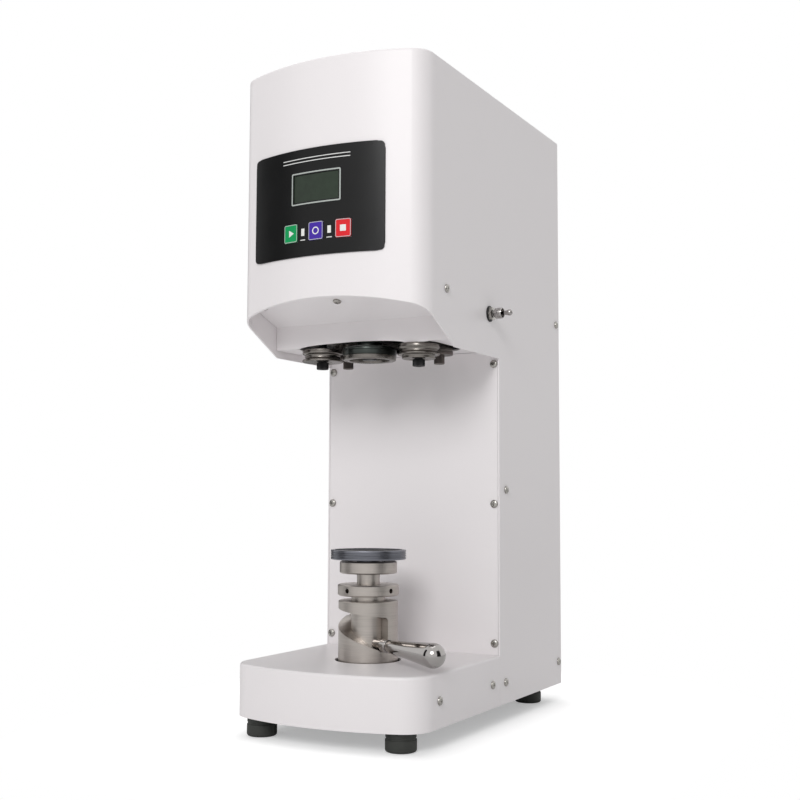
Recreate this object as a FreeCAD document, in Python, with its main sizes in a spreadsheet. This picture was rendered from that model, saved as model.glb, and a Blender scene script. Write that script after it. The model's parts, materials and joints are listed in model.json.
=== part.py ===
import FreeCAD, Part
import Sketcher
import math
import os

# Bench-top can seamer. Lengths in millimetres, angles in degrees, +Z up.
# Places are taken from the seaming axis, the upright line through chuck and lift,
# and every sub-part is then moved so that the frame's origin is under the machine's middle.

sizes = dict(
    # casing
    width=190.0,
    head_reach=91.8,
    head_bow=210.0,
    head_corner=20.0,
    foot_height=17.0,
    sheet=1.5,
    lip=14.0,
    column_front=82.7,
    head_skirt=7.0,
    chin_start=14.0,
    chin_slope=27.5,
    base_top=63.0,
    base_reach=96.0,
    base_bow=235.0,
    base_corner=28.0,
    edge_round=2.5,
    seam_gap=0.3,
    seat_gap=0.3,
    fit_gap=0.05,
    overrun=400.0,
    tool_over=5.0,
    trim_over=20.0,
    # frame inside the casing
    base_thick=4.0,
    post=22.0,
    post_wall=2.0,
    plate_thick=10.0,
    plate_front=35.0,
    # folded plate under the head
    under_gap=0.4,
    fold_front=16.5,
    fold_rise=22.0,
    under_slope=20.0,
    chin_row=54.0,
    mouth_half=72.0,
    mouth_front=30.0,
    mouth_rear=68.0,
    mouth_corner=30.0,
    # feet
    foot_radius=14.5,
    foot_in=25.0,
    foot_front=66.0,
    foot_rear=212.0,
    foot_screw=3.0,
    foot_head=6.4,
    foot_head_tall=3.0,
    foot_recess_gap=1.2,
    # casing screws
    screw_hole=2.1,
    screw_shank=2.0,
    screw_head=3.8,
    screw_proud=2.2,
    screw_deep=8.0,
    screw_room=2.0,
    chin_shank=5.0,
    # where the screws of the walls stand
    post_screw_in=15.3,
    post_screw_up=218.0,
    low_screw_in=13.0,
    low_screw_up=37.0,
    tail_screw_in=8.0,
    tail_screw_up=40.0,
    top_screw_in=9.0,
    top_screw_rise=9.0,
    brow_screw_in=3.6,
    brow_screw_rise=6.5,
    base_screw_front=44.4,
    base_screw_front_up=40.0,
    base_screw_rear=65.2,
    base_screw_rear_up=38.5,
    front_screw_edge=5.4,
    front_screw_rise=11.0,
    front_screw_mid=204.5,
    front_screw_drop=12.0,
    back_screw_edge=8.0,
    back_screw_rise=13.0,
    back_screw_mid=310.0,
    back_screw_drop=17.0,
    chin_left_in=13.0,
    chin_screw_mid=3.0,
    chin_right_in=15.0,
    # lift
    sleeve_radius=27.25,
    sleeve_bore=15.6,
    sleeve_top=116.6,
    sleeve_flange=40.0,
    flange_thick=8.0,
    flange_bolts=34.0,
    flange_bolt=2.5,
    bolt_head=4.2,
    bolt_head_tall=5.0,
    sleeve_edge=0.8,
    hole_radius=30.3,
    rod_radius=4.75,
    rod_level=78.5,
    rod_angle=30.0,
    lift_swing=150.0,
    lift_rate=0.175,
    ramp_gap=0.5,
    slot_end_gap=0.35,
    slot_over_swing=14.0,
    slot_roof=102.8,
    roof_rate=0.06,
    slot_corner=4.0,
    core_radius=7.0,
    core_foot=19.5,
    core_flat=5.0,
    core_room=1.0,
    key_over=2.0,
    bush_room=2.0,
    bush_top=58.0,
    shoulder_radius=12.0,
    shoulder_thick=4.0,
    shoulder_gap=0.2,
    piston_radius=15.52,
    piston_top=120.8,
    stem_radius=10.5,
    stem_foot=94.0,
    stem_down=6.0,
    stem_room=2.0,
    stem_cap=8.0,
    stem_tip_gap=0.2,
    ring_radius=28.0,
    ring_low=121.1,
    ring_thick=10.1,
    ring_edge=1.0,
    ring_hole=2.2,
    ring_hole_deep=9.0,
    ring_angle=13.2,
    rod_root=1.5,
    rod_edge=0.5,
    collar_start=3.0,
    collar_end=2.0,
    grip_start=38.0,
    grip_length=81.0,
    grip_radius=10.6,
    grip_neck=5.6,
    housing_low=141.1,
    housing_thick=11.0,
    housing_radius=26.3,
    housing_edge=1.0,
    housing_floor=3.0,
    journal_gap=0.6,
    race_radius=17.0,
    race_bore=7.55,
    race_thick=7.5,
    table_low=153.8,
    table_thick=8.7,
    table_radius=34.5,
    table_neck=3.0,
    table_edge=1.0,
    table_under_edge=0.8,
    pad_radius=30.8,
    pad_sunk=2.5,
    pad_thick=2.0,
    # seaming head
    can_room=174.4,
    chuck_radius=25.15,
    chuck_recess=18.7,
    chuck_recess_deep=4.0,
    chuck_recess_taper=1.5,
    chuck_lip_in=1.4,
    chuck_lip_step=0.6,
    chuck_lip_tall=0.8,
    chuck_rim_low=7.0,
    chuck_rim_high=10.0,
    chuck_back_in=2.0,
    chuck_tall=12.1,
    chuck_neck=12.0,
    chuck_neck_top=19.1,
    pilot_radius=7.0,
    pilot_low=8.1,
    pilot_gap=0.1,
    chuck_bolt_radius=3.0,
    chuck_bolt_room=0.2,
    chuck_bolt_head=6.5,
    chuck_bolt_low=0.6,
    chuck_bolt_end=22.0,
    shaft_bore_room=2.0,
    shaft_radius=10.0,
    roller_radius=19.25,
    roller_edge=1.0,
    roller_x=51.5,
    roller_rise=12.7,
    left_roller_tall=11.6,
    right_roller_tall=13.6,
    # grooves of the rollers, as levels above the roller's lower face
    first_groove_deep=2.6,
    first_groove_low=2.0,
    first_floor_low=3.4,
    first_floor_high=6.2,
    first_groove_high=7.6,
    second_foot_in=4.0,
    second_foot=3.0,
    second_brim_low=3.6,
    second_brim_high=5.0,
    second_groove_deep=1.6,
    second_floor_low=6.4,
    second_floor_high=8.6,
    second_groove_high=10.0,
    # shoulder bolts of the rollers and of the arms
    roller_pin=4.0,
    roller_head=5.0,
    roller_head_tall=6.5,
    roller_collar=8.0,
    roller_nut=6.5,
    roller_nut_tall=5.0,
    pivot_head=5.0,
    pivot_head_tall=6.0,
    pivot_disc=3.0,
    pivot_collar=4.0,
    pivot_x=50.0,
    pivot_y=45.0,
    pivot_pin=5.0,
    pivot_boss=13.0,
    arm_gap=8.4,
    arm_thick=8.0,
    boss_drop=10.7,
    arm_end=10.0,
    arm_waist=12.0,
    arm_post_end=9.0,
    arm_tail=8.0,
    peg_radius=2.0,
    peg_over=3.0,
    spacer=20.0,
    post_y=40.0,
    cam_y=100.0,
    cam_mean=20.0,
    cam_swing=60.0,
    arm_swing=6.3,
    follower_radius=7.0,
    follower_gap=0.4,
    follower_neck_in=2.0,
    cam_drop=5.4,
    cam_thick=5.0,
    cam_shaft=4.0,
    cam_shaft_over=10.0,
    cam_hub=2.5,
    cam_hub_tall=8.0,
    spring_radius=3.5,
    spring_rise=5.0,
    spring_wire=0.6,
    spring_end=12.0,
    # drive
    housing_bore=21.0,
    quill_radius=26.0,
    quill_tall=78.0,
    spigot_in=2.0,
    quill_flange=6.0,
    quill_flange_thick=7.0,
    bearing_tall=12.0,
    bearing_inset=2.0,
    bearing_lip=3.0,
    pulley_rise=18.0,
    pulley_tall=16.0,
    pulley_brim=3.2,
    pulley_flange=1.4,
    pulley_hub_over=2.0,
    shaft_stub=4.0,
    head_room=83.5,
    driven_radius=32.0,
    driver_radius=16.0,
    belt_thick=2.0,
    belt_wide=12.0,
    motor_y=178.0,
    motor_radius=40.0,
    motor_room=25.0,
    motor_drop=10.0,
    motor_bore=6.1,
    motor_bore_room=2.0,
    motor_edge=4.0,
    gear_radius=24.0,
    gear_tall=58.0,
    gear_case=24.0,
    gear_step=5.0,
    # front panel
    panel_left=74.5,
    panel_right=62.0,
    panel_rise=77.0,
    panel_tall=96.0,
    panel_thick=1.2,
    panel_corner=8.0,
    board_half=40.0,
    board_thick=1.6,
    board_back=9.0,
    board_low_edge=34.0,
    board_high_edge=8.0,
    board_peg=2.5,
    board_peg_in=3.0,
    module_face=5.4,
    glass_deep=2.0,
    glass_sunk=0.5,
    frame_proud=0.3,
    screen_left=28.0,
    screen_right=23.0,
    screen_rise=46.0,
    screen_tall=29.0,
    screen_rim=2.2,
    key_wide=14.6,
    key_tall=16.0,
    key_rise=21.5,
    green_x=-28.5,
    blue_x=-1.5,
    red_x=25.5,
    key_gap=0.25,
    key_back=0.5,
    key_thick=1.3,
    key_corner=1.6,
    lamp_wide=3.4,
    lamp_tall=6.5,
    lamp_proud=0.15,
    left_lamp_x=-15.2,
    right_lamp_x=12.0,
    # switch on the right side
    toggle_y=60.5,
    toggle_drop=3.2,
    toggle_bush=3.4,
    toggle_bore=2.1,
    toggle_reach=23.5,
    toggle_ball=2.6,
    toggle_pivot=5.5,
    toggle_pin=0.8,
    switch_deep=16.0,
    switch_half=6.5,
    switch_half_tall=6.0,
    switch_room=1.0,
    bush_reach=10.0,
    bush_pocket=3.0,
    washer_radius=7.6,
    washer_thick=1.0,
    nut_radius=6.6,
    nut_thick=3.2,
    # bat of the switch: levels counted from its pivot and from its tip
    bat_tail=1.1,
    bat_tail_long=3.0,
    bat_tail_end=1.5,
    bat_ball=2.0,
    bat_ball_half=0.5,
    bat_neck=1.2,
    bat_neck_start=1.5,
    bat_swell_in=0.6,
    bat_swell_long=6.0,
    bat_tip_long=3.0,
    bat_round_in=0.5,
    bat_round_long=0.7,
    bat_tip_in=1.6,
    # louvres and mains inlet in the rear panel
    louvre_half=45.0,
    louvre_pitch=9.0,
    louvre_tall=3.0,
    inlet_in=53.0,
    inlet_z=58.0,
    inlet_wide=27.0,
    inlet_tall=20.0,
    inlet_rim=2.5,
    socket_wide=24.0,
    socket_tall=16.0,
    socket_deep=16.0,
    inlet_margin=2.5,
    inlet_deep=22.0,
    blade_x=7.0,
    blade_z=2.0,
    blade_half=1.0,
    blade_half_tall=2.0,
    blade_long=8.0,
    # electrics inside
    supply_wide=100.0,
    supply_tall=42.0,
    supply_front=28.0,
    supply_rear=37.0,
    board_wide=108.0,
    board_tall=136.0,
    board_rise=122.0,
    board_stand=8.0,
    board_stand_radius=3.0,
    board_stand_in=6.0,
)

doc = FreeCAD.newDocument("can_seamer")
sheet = doc.addObject("Spreadsheet::Sheet", "size")
for row, (alias, number) in enumerate(sizes.items(), start=1):
    sheet.set("A%d" % row, str(number))
    sheet.setAlias("A%d" % row, alias)
# Where the seaming axis stands, so that the machine's outline is centred on the origin.
places = dict(
    axis_x="=-(toggle_reach - screw_proud) / 2",
    axis_y="=-(rear_reach + inlet_rim - base_reach) / 2",
    half="=width / 2",
    inside="=width / 2 - sheet - seam_gap",
    foot_x="=half - foot_in",
    inlet_x="=half - inlet_in",
    chin_screw_left="=half - chin_left_in",
    chin_screw_right="=half - chin_right_in",
    deck="=foot_height + base_thick",
    plate_top="=plate_low + plate_thick",
    table_top="=table_low + table_thick",
    piston_low="=bush_top + bush_room + shoulder_thick + shoulder_gap",
    chuck_low="=table_top + can_room",
    roller_top="=chuck_low + roller_rise",
    left_roller_low="=roller_top - left_roller_tall",
    right_roller_low="=roller_top - right_roller_tall",
    under_low="=roller_top + under_gap",
    head_low="=under_low - head_skirt",
    fold_high="=under_low + fold_rise",
    arm_low="=roller_top + arm_gap",
    arm_top="=arm_low + arm_thick",
    boss_low="=arm_low - boss_drop",
    cam_low="=arm_low - cam_drop",
    spring_level="=arm_top + spring_rise",
    plate_low="=arm_top + spacer",
    quill_top="=plate_top + quill_tall",
    pulley_low="=quill_top + pulley_rise",
    shaft_top="=pulley_low + pulley_tall + shaft_stub",
    machine_height="=shaft_top + head_room + sheet",
    motor_top="=pulley_low - motor_drop",
    gear_top="=plate_top + gear_tall",
    rear_reach="=motor_y + motor_radius + motor_room",
    panel_low="=head_low + panel_rise",
    panel_high="=panel_low + panel_tall",
    screen_low="=panel_low + screen_rise",
    screen_high="=screen_low + screen_tall",
    screen_mid="=(screen_low + screen_high) / 2",
    key_level="=panel_low + key_rise",
    toggle_z="=plate_low - toggle_drop",
    core_top="=housing_low - stem_cap - stem_down - core_room",
    socket_floor="=socket_deep - inlet_rim",
    board_face="=head_reach - (sqrt((head_bow - sheet)^2 - board_half^2) - head_bow + head_reach)",
)
for row, (alias, rule) in enumerate(places.items(), start=len(sizes) + 2):
    sheet.set("A%d" % row, rule)
    sheet.setAlias("A%d" % row, alias)
doc.recompute()


def size(name):
    """A value of the sheet, as a plain number."""
    return float(sheet.get(name))


def bind(thing, name, rule):
    """Binds one property to a rule that names cells of the sheet."""
    thing.setExpression(name, rule)


def place(thing, x="0", y="0", z="0"):
    """Puts a sub-part beside the seaming axis, by rules of the sheet."""
    bind(thing, "Placement.Base.x", "size.axis_x + " + x)
    bind(thing, "Placement.Base.y", "size.axis_y + " + y)
    bind(thing, "Placement.Base.z", z)


parts = []
draft = 50.0  # first guess of an outline's reach, before its rules pull it to size
louvre_count = 9


def piece(name, x="0", y="0", z="0"):
    """Starts a sub-part."""
    body = doc.addObject("PartDesign::Body", name)
    body.Label = name
    body.AllowCompound = True
    place(body, x, y, z)
    parts.append(body)
    return body


def plane(body, role):
    return next(flat for flat in body.Origin.OriginFeatures if flat.Role == role)


def sketch(body, role="XY_Plane", lift="0"):
    """An empty sketch on one of the body's own planes, lifted along the plane's normal."""
    drawing = body.newObject("Sketcher::SketchObject", body.Name + "_sketch")
    drawing.AttachmentSupport = [(plane(body, role), "")]
    drawing.MapMode = "FlatFace"
    bind(drawing, "AttachmentOffset.Base.z", lift)
    return drawing


def fix(drawing, index, point, x, y):
    """Holds a point of the sketch at x, y from the sketch's origin."""
    across = drawing.addConstraint(Sketcher.Constraint("DistanceX", -1, 1, index, point, 1.0))
    bind(drawing, "Constraints[%d]" % across, x)
    along = drawing.addConstraint(Sketcher.Constraint("DistanceY", -1, 1, index, point, 1.0))
    bind(drawing, "Constraints[%d]" % along, y)


def polygon(drawing, corners):
    """Straight-sided loop through corners that are given as rules."""
    first = drawing.GeometryCount
    count = len(corners)
    steps = [2 * math.pi * turn / count for turn in range(count)]
    spots = [FreeCAD.Vector(draft * math.cos(step), draft * math.sin(step), 0) for step in steps]
    for turn in range(count):
        drawing.addGeometry(Part.LineSegment(spots[turn], spots[(turn + 1) % count]))
    for turn in range(count):
        following = first + (turn + 1) % count
        drawing.addConstraint(Sketcher.Constraint("Coincident", first + turn, 2, following, 1))
    for turn, (x, y) in enumerate(corners):
        fix(drawing, first + turn, 1, x, y)
    return drawing


def rectangle(drawing, left, right, low, high):
    return polygon(drawing, [(left, low), (right, low), (right, high), (left, high)])


def rounded(drawing, left, right, low, high, corner):
    """Rectangle with four equal rounded corners."""
    first = drawing.GeometryCount
    wide = draft
    tall = draft * 0.6
    bend = draft * 0.2
    up = FreeCAD.Vector(0, 0, 1)
    ends = [(-wide + bend, -tall), (wide - bend, -tall), (wide, -tall + bend), (wide, tall - bend),
            (wide - bend, tall), (-wide + bend, tall), (-wide, tall - bend), (-wide, -tall + bend)]
    centres = [(wide - bend, -tall + bend), (wide - bend, tall - bend),
               (-wide + bend, tall - bend), (-wide + bend, -tall + bend)]
    for turn in range(4):
        start = FreeCAD.Vector(*ends[2 * turn], 0)
        finish = FreeCAD.Vector(*ends[2 * turn + 1], 0)
        drawing.addGeometry(Part.LineSegment(start, finish))
    for turn in range(4):
        bow = Part.Circle(FreeCAD.Vector(*centres[turn], 0), up, bend)
        drawing.addGeometry(Part.ArcOfCircle(bow, (turn - 1) * math.pi / 2, turn * math.pi / 2))
    for turn in range(4):
        arc = first + 4 + turn
        drawing.addConstraint(Sketcher.Constraint("Tangent", first + turn, 2, arc, 1))
        drawing.addConstraint(Sketcher.Constraint("Tangent", arc, 2, first + (turn + 1) % 4, 1))
        lie = "Horizontal" if turn % 2 == 0 else "Vertical"
        drawing.addConstraint(Sketcher.Constraint(lie, first + turn))
    for turn in range(3):
        drawing.addConstraint(Sketcher.Constraint("Equal", first + 4 + turn, first + 5 + turn))
    held = [
        (Sketcher.Constraint("Radius", first + 4, bend), corner),
        (Sketcher.Constraint("DistanceY", -1, 1, first, 1, -tall), low),
        (Sketcher.Constraint("DistanceX", -1, 1, first + 1, 1, wide), right),
        (Sketcher.Constraint("DistanceY", -1, 1, first + 2, 1, tall), high),
        (Sketcher.Constraint("DistanceX", -1, 1, first + 3, 1, -wide), left),
    ]
    for constraint, rule in held:
        number = drawing.addConstraint(constraint)
        bind(drawing, "Constraints[%d]" % number, rule)
    return drawing


def circle(drawing, x, y, radius):
    index = drawing.addGeometry(Part.Circle(FreeCAD.Vector(3.0, 4.0, 0), FreeCAD.Vector(0, 0, 1), 5.0))
    fix(drawing, index, 3, x, y)
    round_rule = drawing.addConstraint(Sketcher.Constraint("Radius", index, 5.0))
    bind(drawing, "Constraints[%d]" % round_rule, radius)
    return drawing


def pad(body, drawing, length, reverse=False, both=False):
    feature = body.newObject("PartDesign::Pad", body.Name + "_pad")
    feature.Profile = drawing
    bind(feature, "Length", length)
    feature.Reversed = reverse
    if both:
        feature.SideType = "Symmetric"
    drawing.Visibility = False
    body.Tip = feature
    return feature


def cut(body, drawing, length=None, reverse=False):
    """Cuts against the sketch's normal, or along it when reversed; without a length, both ways."""
    feature = body.newObject("PartDesign::Pocket", body.Name + "_cut")
    feature.Profile = drawing
    if length is None:
        feature.Type = "ThroughAll"
        feature.SideType = "Symmetric"
    elif length == "all":
        feature.Type = "ThroughAll"
        feature.Reversed = reverse
    else:
        bind(feature, "Length", length)
        feature.Reversed = reverse
    drawing.Visibility = False
    body.Tip = feature
    return feature


def turned(body, corners):
    """Turns a profile of radius and height rules about the body's upright axis."""
    drawing = polygon(sketch(body, "XZ_Plane"), corners)
    feature = body.newObject("PartDesign::Revolution", body.Name + "_turned")
    feature.Profile = drawing
    feature.ReferenceAxis = (drawing, ["V_Axis"])
    feature.Angle = 360.0
    drawing.Visibility = False
    body.Tip = feature
    return feature


def ring(body, inner, outer, low, high):
    return turned(body, [(inner, low), (outer, low), (outer, high), (inner, high)])


def disc(body, radius, low, high):
    return turned(body, [("0", low), (radius, low), (radius, high), ("0", high)])


def block(body, left, right, front, back, low, high):
    drawing = rectangle(sketch(body, lift=low), left, right, front, back)
    return pad(body, drawing, "(%s) - (%s)" % (high, low))


def mirror(body, features, role="YZ_Plane"):
    feature = body.newObject("PartDesign::Mirrored", body.Name + "_mirror")
    feature.Originals = features
    feature.MirrorPlane = (plane(body, role), [""])
    body.Tip = feature
    return feature


def bowed(drawing, reach, bow, corner, half, rear, inset="0"):
    """Plan outline with a bowed front and rounded front corners; the inset moves it inwards."""
    step = size("sheet")
    far = size(reach) - step
    bend = size(bow) - step
    round_corner = size(corner) - step
    side = size("width") / 2 - step
    middle = bend - far
    corner_x = side - round_corner
    corner_y = middle - math.sqrt((bend - round_corner) ** 2 - corner_x ** 2)
    lean = math.atan2(corner_y - middle, corner_x)
    back = size("rear_reach")
    up = FreeCAD.Vector(0, 0, 1)
    centre = FreeCAD.Vector(0, middle, 0)
    right = FreeCAD.Vector(corner_x, corner_y, 0)
    left = FreeCAD.Vector(-corner_x, corner_y, 0)
    drawing.addGeometry(Part.ArcOfCircle(Part.Circle(centre, up, bend), -math.pi - lean, lean))
    drawing.addGeometry(Part.ArcOfCircle(Part.Circle(right, up, round_corner), lean, 0))
    drawing.addGeometry(Part.LineSegment(FreeCAD.Vector(side, corner_y, 0), FreeCAD.Vector(side, back, 0)))
    drawing.addGeometry(Part.LineSegment(FreeCAD.Vector(side, back, 0), FreeCAD.Vector(-side, back, 0)))
    drawing.addGeometry(Part.LineSegment(FreeCAD.Vector(-side, back, 0), FreeCAD.Vector(-side, corner_y, 0)))
    drawing.addGeometry(Part.ArcOfCircle(Part.Circle(left, up, round_corner), math.pi, math.pi - lean))
    for one, end, other, start in ((0, 2, 1, 1), (1, 2, 2, 1), (4, 2, 5, 1), (5, 2, 0, 1)):
        drawing.addConstraint(Sketcher.Constraint("Tangent", one, end, other, start))
    drawing.addConstraint(Sketcher.Constraint("Coincident", 2, 2, 3, 1))
    drawing.addConstraint(Sketcher.Constraint("Coincident", 3, 2, 4, 1))
    drawing.addConstraint(Sketcher.Constraint("PointOnObject", 0, 3, -2))
    drawing.addConstraint(Sketcher.Constraint("Equal", 1, 5))
    drawing.addConstraint(Sketcher.Constraint("Vertical", 2))
    drawing.addConstraint(Sketcher.Constraint("Vertical", 4))
    drawing.addConstraint(Sketcher.Constraint("Horizontal", 3))
    held = [
        (Sketcher.Constraint("Radius", 0, bend), "size.%s - (%s)" % (bow, inset)),
        (Sketcher.Constraint("DistanceY", -1, 1, 0, 3, middle), "size.%s - size.%s" % (bow, reach)),
        (Sketcher.Constraint("Radius", 1, round_corner), "size.%s - (%s)" % (corner, inset)),
        (Sketcher.Constraint("DistanceX", -1, 1, 2, 2, side), "%s - (%s)" % (half, inset)),
        (Sketcher.Constraint("DistanceX", -1, 1, 4, 1, -side), "(%s) - %s" % (inset, half)),
        (Sketcher.Constraint("DistanceY", -1, 1, 2, 2, back), rear),
    ]
    for constraint, rule in held:
        number = drawing.addConstraint(constraint)
        bind(drawing, "Constraints[%d]" % number, rule)
    return drawing


def round_top(body, feature, level, rear):
    """Rounds the outer edge round a cover's top, apart from the cut edge at its rear."""
    doc.recompute()
    top = size(level)
    back = size(rear) - size("seam_gap") * 2
    names = []
    for number, edge in enumerate(feature.Shape.Edges, start=1):
        box = edge.BoundBox
        if abs(box.ZMin - top) < size("fit_gap") and box.ZLength < size("fit_gap") and box.YMin < back:
            names.append("Edge%d" % number)
    rounding = body.newObject("PartDesign::Fillet", body.Name + "_rounding")
    rounding.Base = (feature, names)
    bind(rounding, "Radius", "size.edge_round")
    body.Tip = rounding
    return rounding


def head_outline(body, lift, rear, inset="0"):
    return bowed(sketch(body, lift=lift), "head_reach", "head_bow", "head_corner", "size.half", rear, inset)


def base_outline(body, lift, rear, inset="0"):
    return bowed(sketch(body, lift=lift), "base_reach", "base_bow", "base_corner", "size.half", rear, inset)


foot_rows = ("-size.foot_front", "size.foot_rear")
foot_places = [(x, y) for x in ("-size.foot_x", "size.foot_x") for y in foot_rows]
bolt_reach = " * size.flange_bolts * cos(45 deg)"
bolt_places = [(x + bolt_reach, y + bolt_reach) for x in ("-1", "1") for y in ("-1", "1")]
# Screw places in the side walls: distance behind the seaming axis, and level.
column_screws = [
    ("size.column_front + size.post_screw_in", "size.post_screw_up"),
    ("size.column_front + size.low_screw_in", "size.low_screw_up"),
    ("size.rear_reach - size.tail_screw_in", "size.tail_screw_up"),
    ("size.rear_reach - size.top_screw_in", "size.plate_low + size.top_screw_rise"),
    ("-size.plate_front + size.brow_screw_in", "size.plate_low + size.brow_screw_rise"),
]
base_screws = [("-size.base_screw_front", "size.base_screw_front_up"),
               ("size.base_screw_rear", "size.base_screw_rear_up")]
# Screw places in the column's front panel and in the rear panel: side and level.
front_levels = ["size.base_top + size.front_screw_rise", "size.front_screw_mid",
                "size.under_low - size.front_screw_drop"]
rear_levels = ["size.foot_height + size.back_screw_rise", "size.back_screw_mid",
               "size.machine_height - size.back_screw_drop"]
front_screws = [(side, z) for side in ("-1", "1") for z in front_levels]
rear_screws = [(side, z) for side in ("-1", "1") for z in rear_levels]
front_screw_x = " * (size.half - size.front_screw_edge)"
rear_screw_x = " * (size.half - size.back_screw_edge)"
# Screw places across the sloped part of the plate under the head.
chin_screws = ["-size.chin_screw_left", "-size.chin_screw_mid", "size.chin_screw_right"]


def column_holes(body):
    """Clearance holes of the screws in the side walls, in the front panel and in the rear panel."""
    flanks = sketch(body, "YZ_Plane")
    for y, z in column_screws:
        circle(flanks, y, z, "size.screw_hole")
    cut(body, flanks)
    front = sketch(body, "XZ_Plane", "-size.column_front")
    for side, z in front_screws:
        circle(front, side + front_screw_x, z, "size.screw_hole")
    cut(body, front, "size.screw_deep + size.screw_room")
    rear = sketch(body, "XZ_Plane", "-size.rear_reach")
    for side, z in rear_screws:
        circle(rear, side + rear_screw_x, z, "size.screw_hole")
    cut(body, rear, "size.screw_deep + size.screw_room", reverse=True)


def make_main_shell():
    """Painted sheet: bowed head front, both sides down to the base, and the top, in one welded box."""
    body = piece("main_shell")
    outline = head_outline(body, "size.foot_height", "size.rear_reach")
    box = pad(body, outline, "size.machine_height - size.foot_height")
    round_top(body, box, "machine_height", "rear_reach")
    inner = head_outline(body, "size.foot_height", "size.rear_reach + size.overrun", "size.sheet")
    cut(body, inner, "size.machine_height - size.foot_height - size.sheet", reverse=True)
    throat = polygon(sketch(body, "YZ_Plane"), [
        ("-size.overrun", "0"),
        ("size.column_front", "0"),
        ("size.column_front", "size.head_low"),
        ("-size.chin_start", "size.head_low"),
        ("-size.overrun", "size.head_low + (size.overrun - size.chin_start) * tan(size.chin_slope * 1 deg)"),
    ])
    cut(body, throat)
    front_lip = block(body, "size.half - size.sheet - size.lip", "size.half - size.sheet / 2",
                      "size.column_front + size.sheet + size.seam_gap",
                      "size.column_front + size.sheet * 2 + size.seam_gap",
                      "size.deck + size.seam_gap", "size.head_low")
    rear_lip = block(body, "size.half - size.sheet - size.lip", "size.half - size.sheet / 2",
                     "size.rear_reach - size.sheet * 2 - size.seam_gap",
                     "size.rear_reach - size.sheet - size.seam_gap",
                     "size.foot_height", "size.machine_height - size.sheet / 2")
    mirror(body, [front_lip, rear_lip])
    column_holes(body)
    bush = circle(sketch(body, "YZ_Plane"), "size.toggle_y", "size.toggle_z",
                  "size.toggle_bush + size.fit_gap")
    cut(body, bush, "all", reverse=True)
    window = rectangle(sketch(body, "XZ_Plane"),
                       "-size.screen_left + size.screen_rim", "size.screen_right - size.screen_rim",
                       "size.screen_low + size.screen_rim", "size.screen_high - size.screen_rim")
    cut(body, window, "all", reverse=True)
    return body


def make_base_cover():
    """Painted bowed tray upside down over the base, with the hole that the cam sleeve stands in."""
    body = piece("base_cover")
    rear = "size.column_front - size.seam_gap"
    tray = pad(body, base_outline(body, "size.foot_height", rear), "size.base_top - size.foot_height")
    round_top(body, tray, "base_top", "column_front")
    inner = base_outline(body, "size.foot_height", "size.column_front + size.overrun", "size.sheet")
    cut(body, inner, "size.base_top - size.foot_height - size.sheet", reverse=True)
    cut(body, circle(sketch(body), "0", "0", "size.hole_radius"))
    holes = sketch(body, "YZ_Plane")
    for y, z in base_screws:
        circle(holes, y, z, "size.screw_hole")
    cut(body, holes)
    return body


def make_base_plate():
    """Steel floor plate that carries the sleeve, the posts and the feet."""
    body = piece("base_plate")
    pad(body, base_outline(body, "size.foot_height", "size.rear_reach - size.sheet * 2 - size.seam_gap * 2",
                           "size.sheet + size.seam_gap"), "size.base_thick")
    holes = circle(sketch(body), "0", "0", "size.core_radius + size.core_room")
    for x, y in foot_places:
        circle(holes, x, y, "size.foot_screw + size.fit_gap")
    for x, y in bolt_places:
        circle(holes, x, y, "size.flange_bolt + size.fit_gap")
    cut(body, holes)
    return body


def make_column_front_panel():
    body = piece("column_front_panel")
    block(body, "-size.inside", "size.inside", "size.column_front", "size.column_front + size.sheet",
          "size.base_top + size.seam_gap - size.sheet", "size.under_low - size.seam_gap")
    holes = sketch(body, "XZ_Plane")
    for side, z in front_screws:
        circle(holes, side + front_screw_x, z, "size.screw_hole")
    cut(body, holes)
    return body


def make_rear_panel():
    """Flat rear cover with louvre slots behind the motor and a cut-out for the mains inlet."""
    body = piece("rear_panel")
    block(body, "-size.inside", "size.inside", "size.rear_reach - size.sheet", "size.rear_reach",
          "size.foot_height", "size.machine_height - size.sheet - size.seam_gap")
    openings = sketch(body, "XZ_Plane")
    for turn in range(louvre_count):
        low = "size.quill_top + %d * size.louvre_pitch" % turn
        rectangle(openings, "-size.louvre_half", "size.louvre_half", low, low + " + size.louvre_tall")
    cut(body, openings)
    holes = rectangle(sketch(body, "XZ_Plane"), "size.inlet_x - size.inlet_wide / 2 - size.fit_gap",
                      "size.inlet_x + size.inlet_wide / 2 + size.fit_gap",
                      "size.inlet_z - size.inlet_tall / 2 - size.fit_gap",
                      "size.inlet_z + size.inlet_tall / 2 + size.fit_gap")
    for side, z in rear_screws:
        circle(holes, side + rear_screw_x, z, "size.screw_hole")
    cut(body, holes)
    return body


def slope_sketch(body):
    """Sketch on the lower face of the under plate's slope, at the row of its screws."""
    drawing = sketch(body)
    lean = FreeCAD.Rotation(FreeCAD.Vector(1, 0, 0), -size("under_slope"))
    drawing.AttachmentOffset = FreeCAD.Placement(FreeCAD.Vector(0, 0, 0), lean)
    bind(drawing, "AttachmentOffset.Base.y", "-size.chin_row")
    bind(drawing, "AttachmentOffset.Base.z",
         "size.fold_high + (size.chin_row - size.fold_front) * tan(size.under_slope * 1 deg)")
    return drawing


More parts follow.
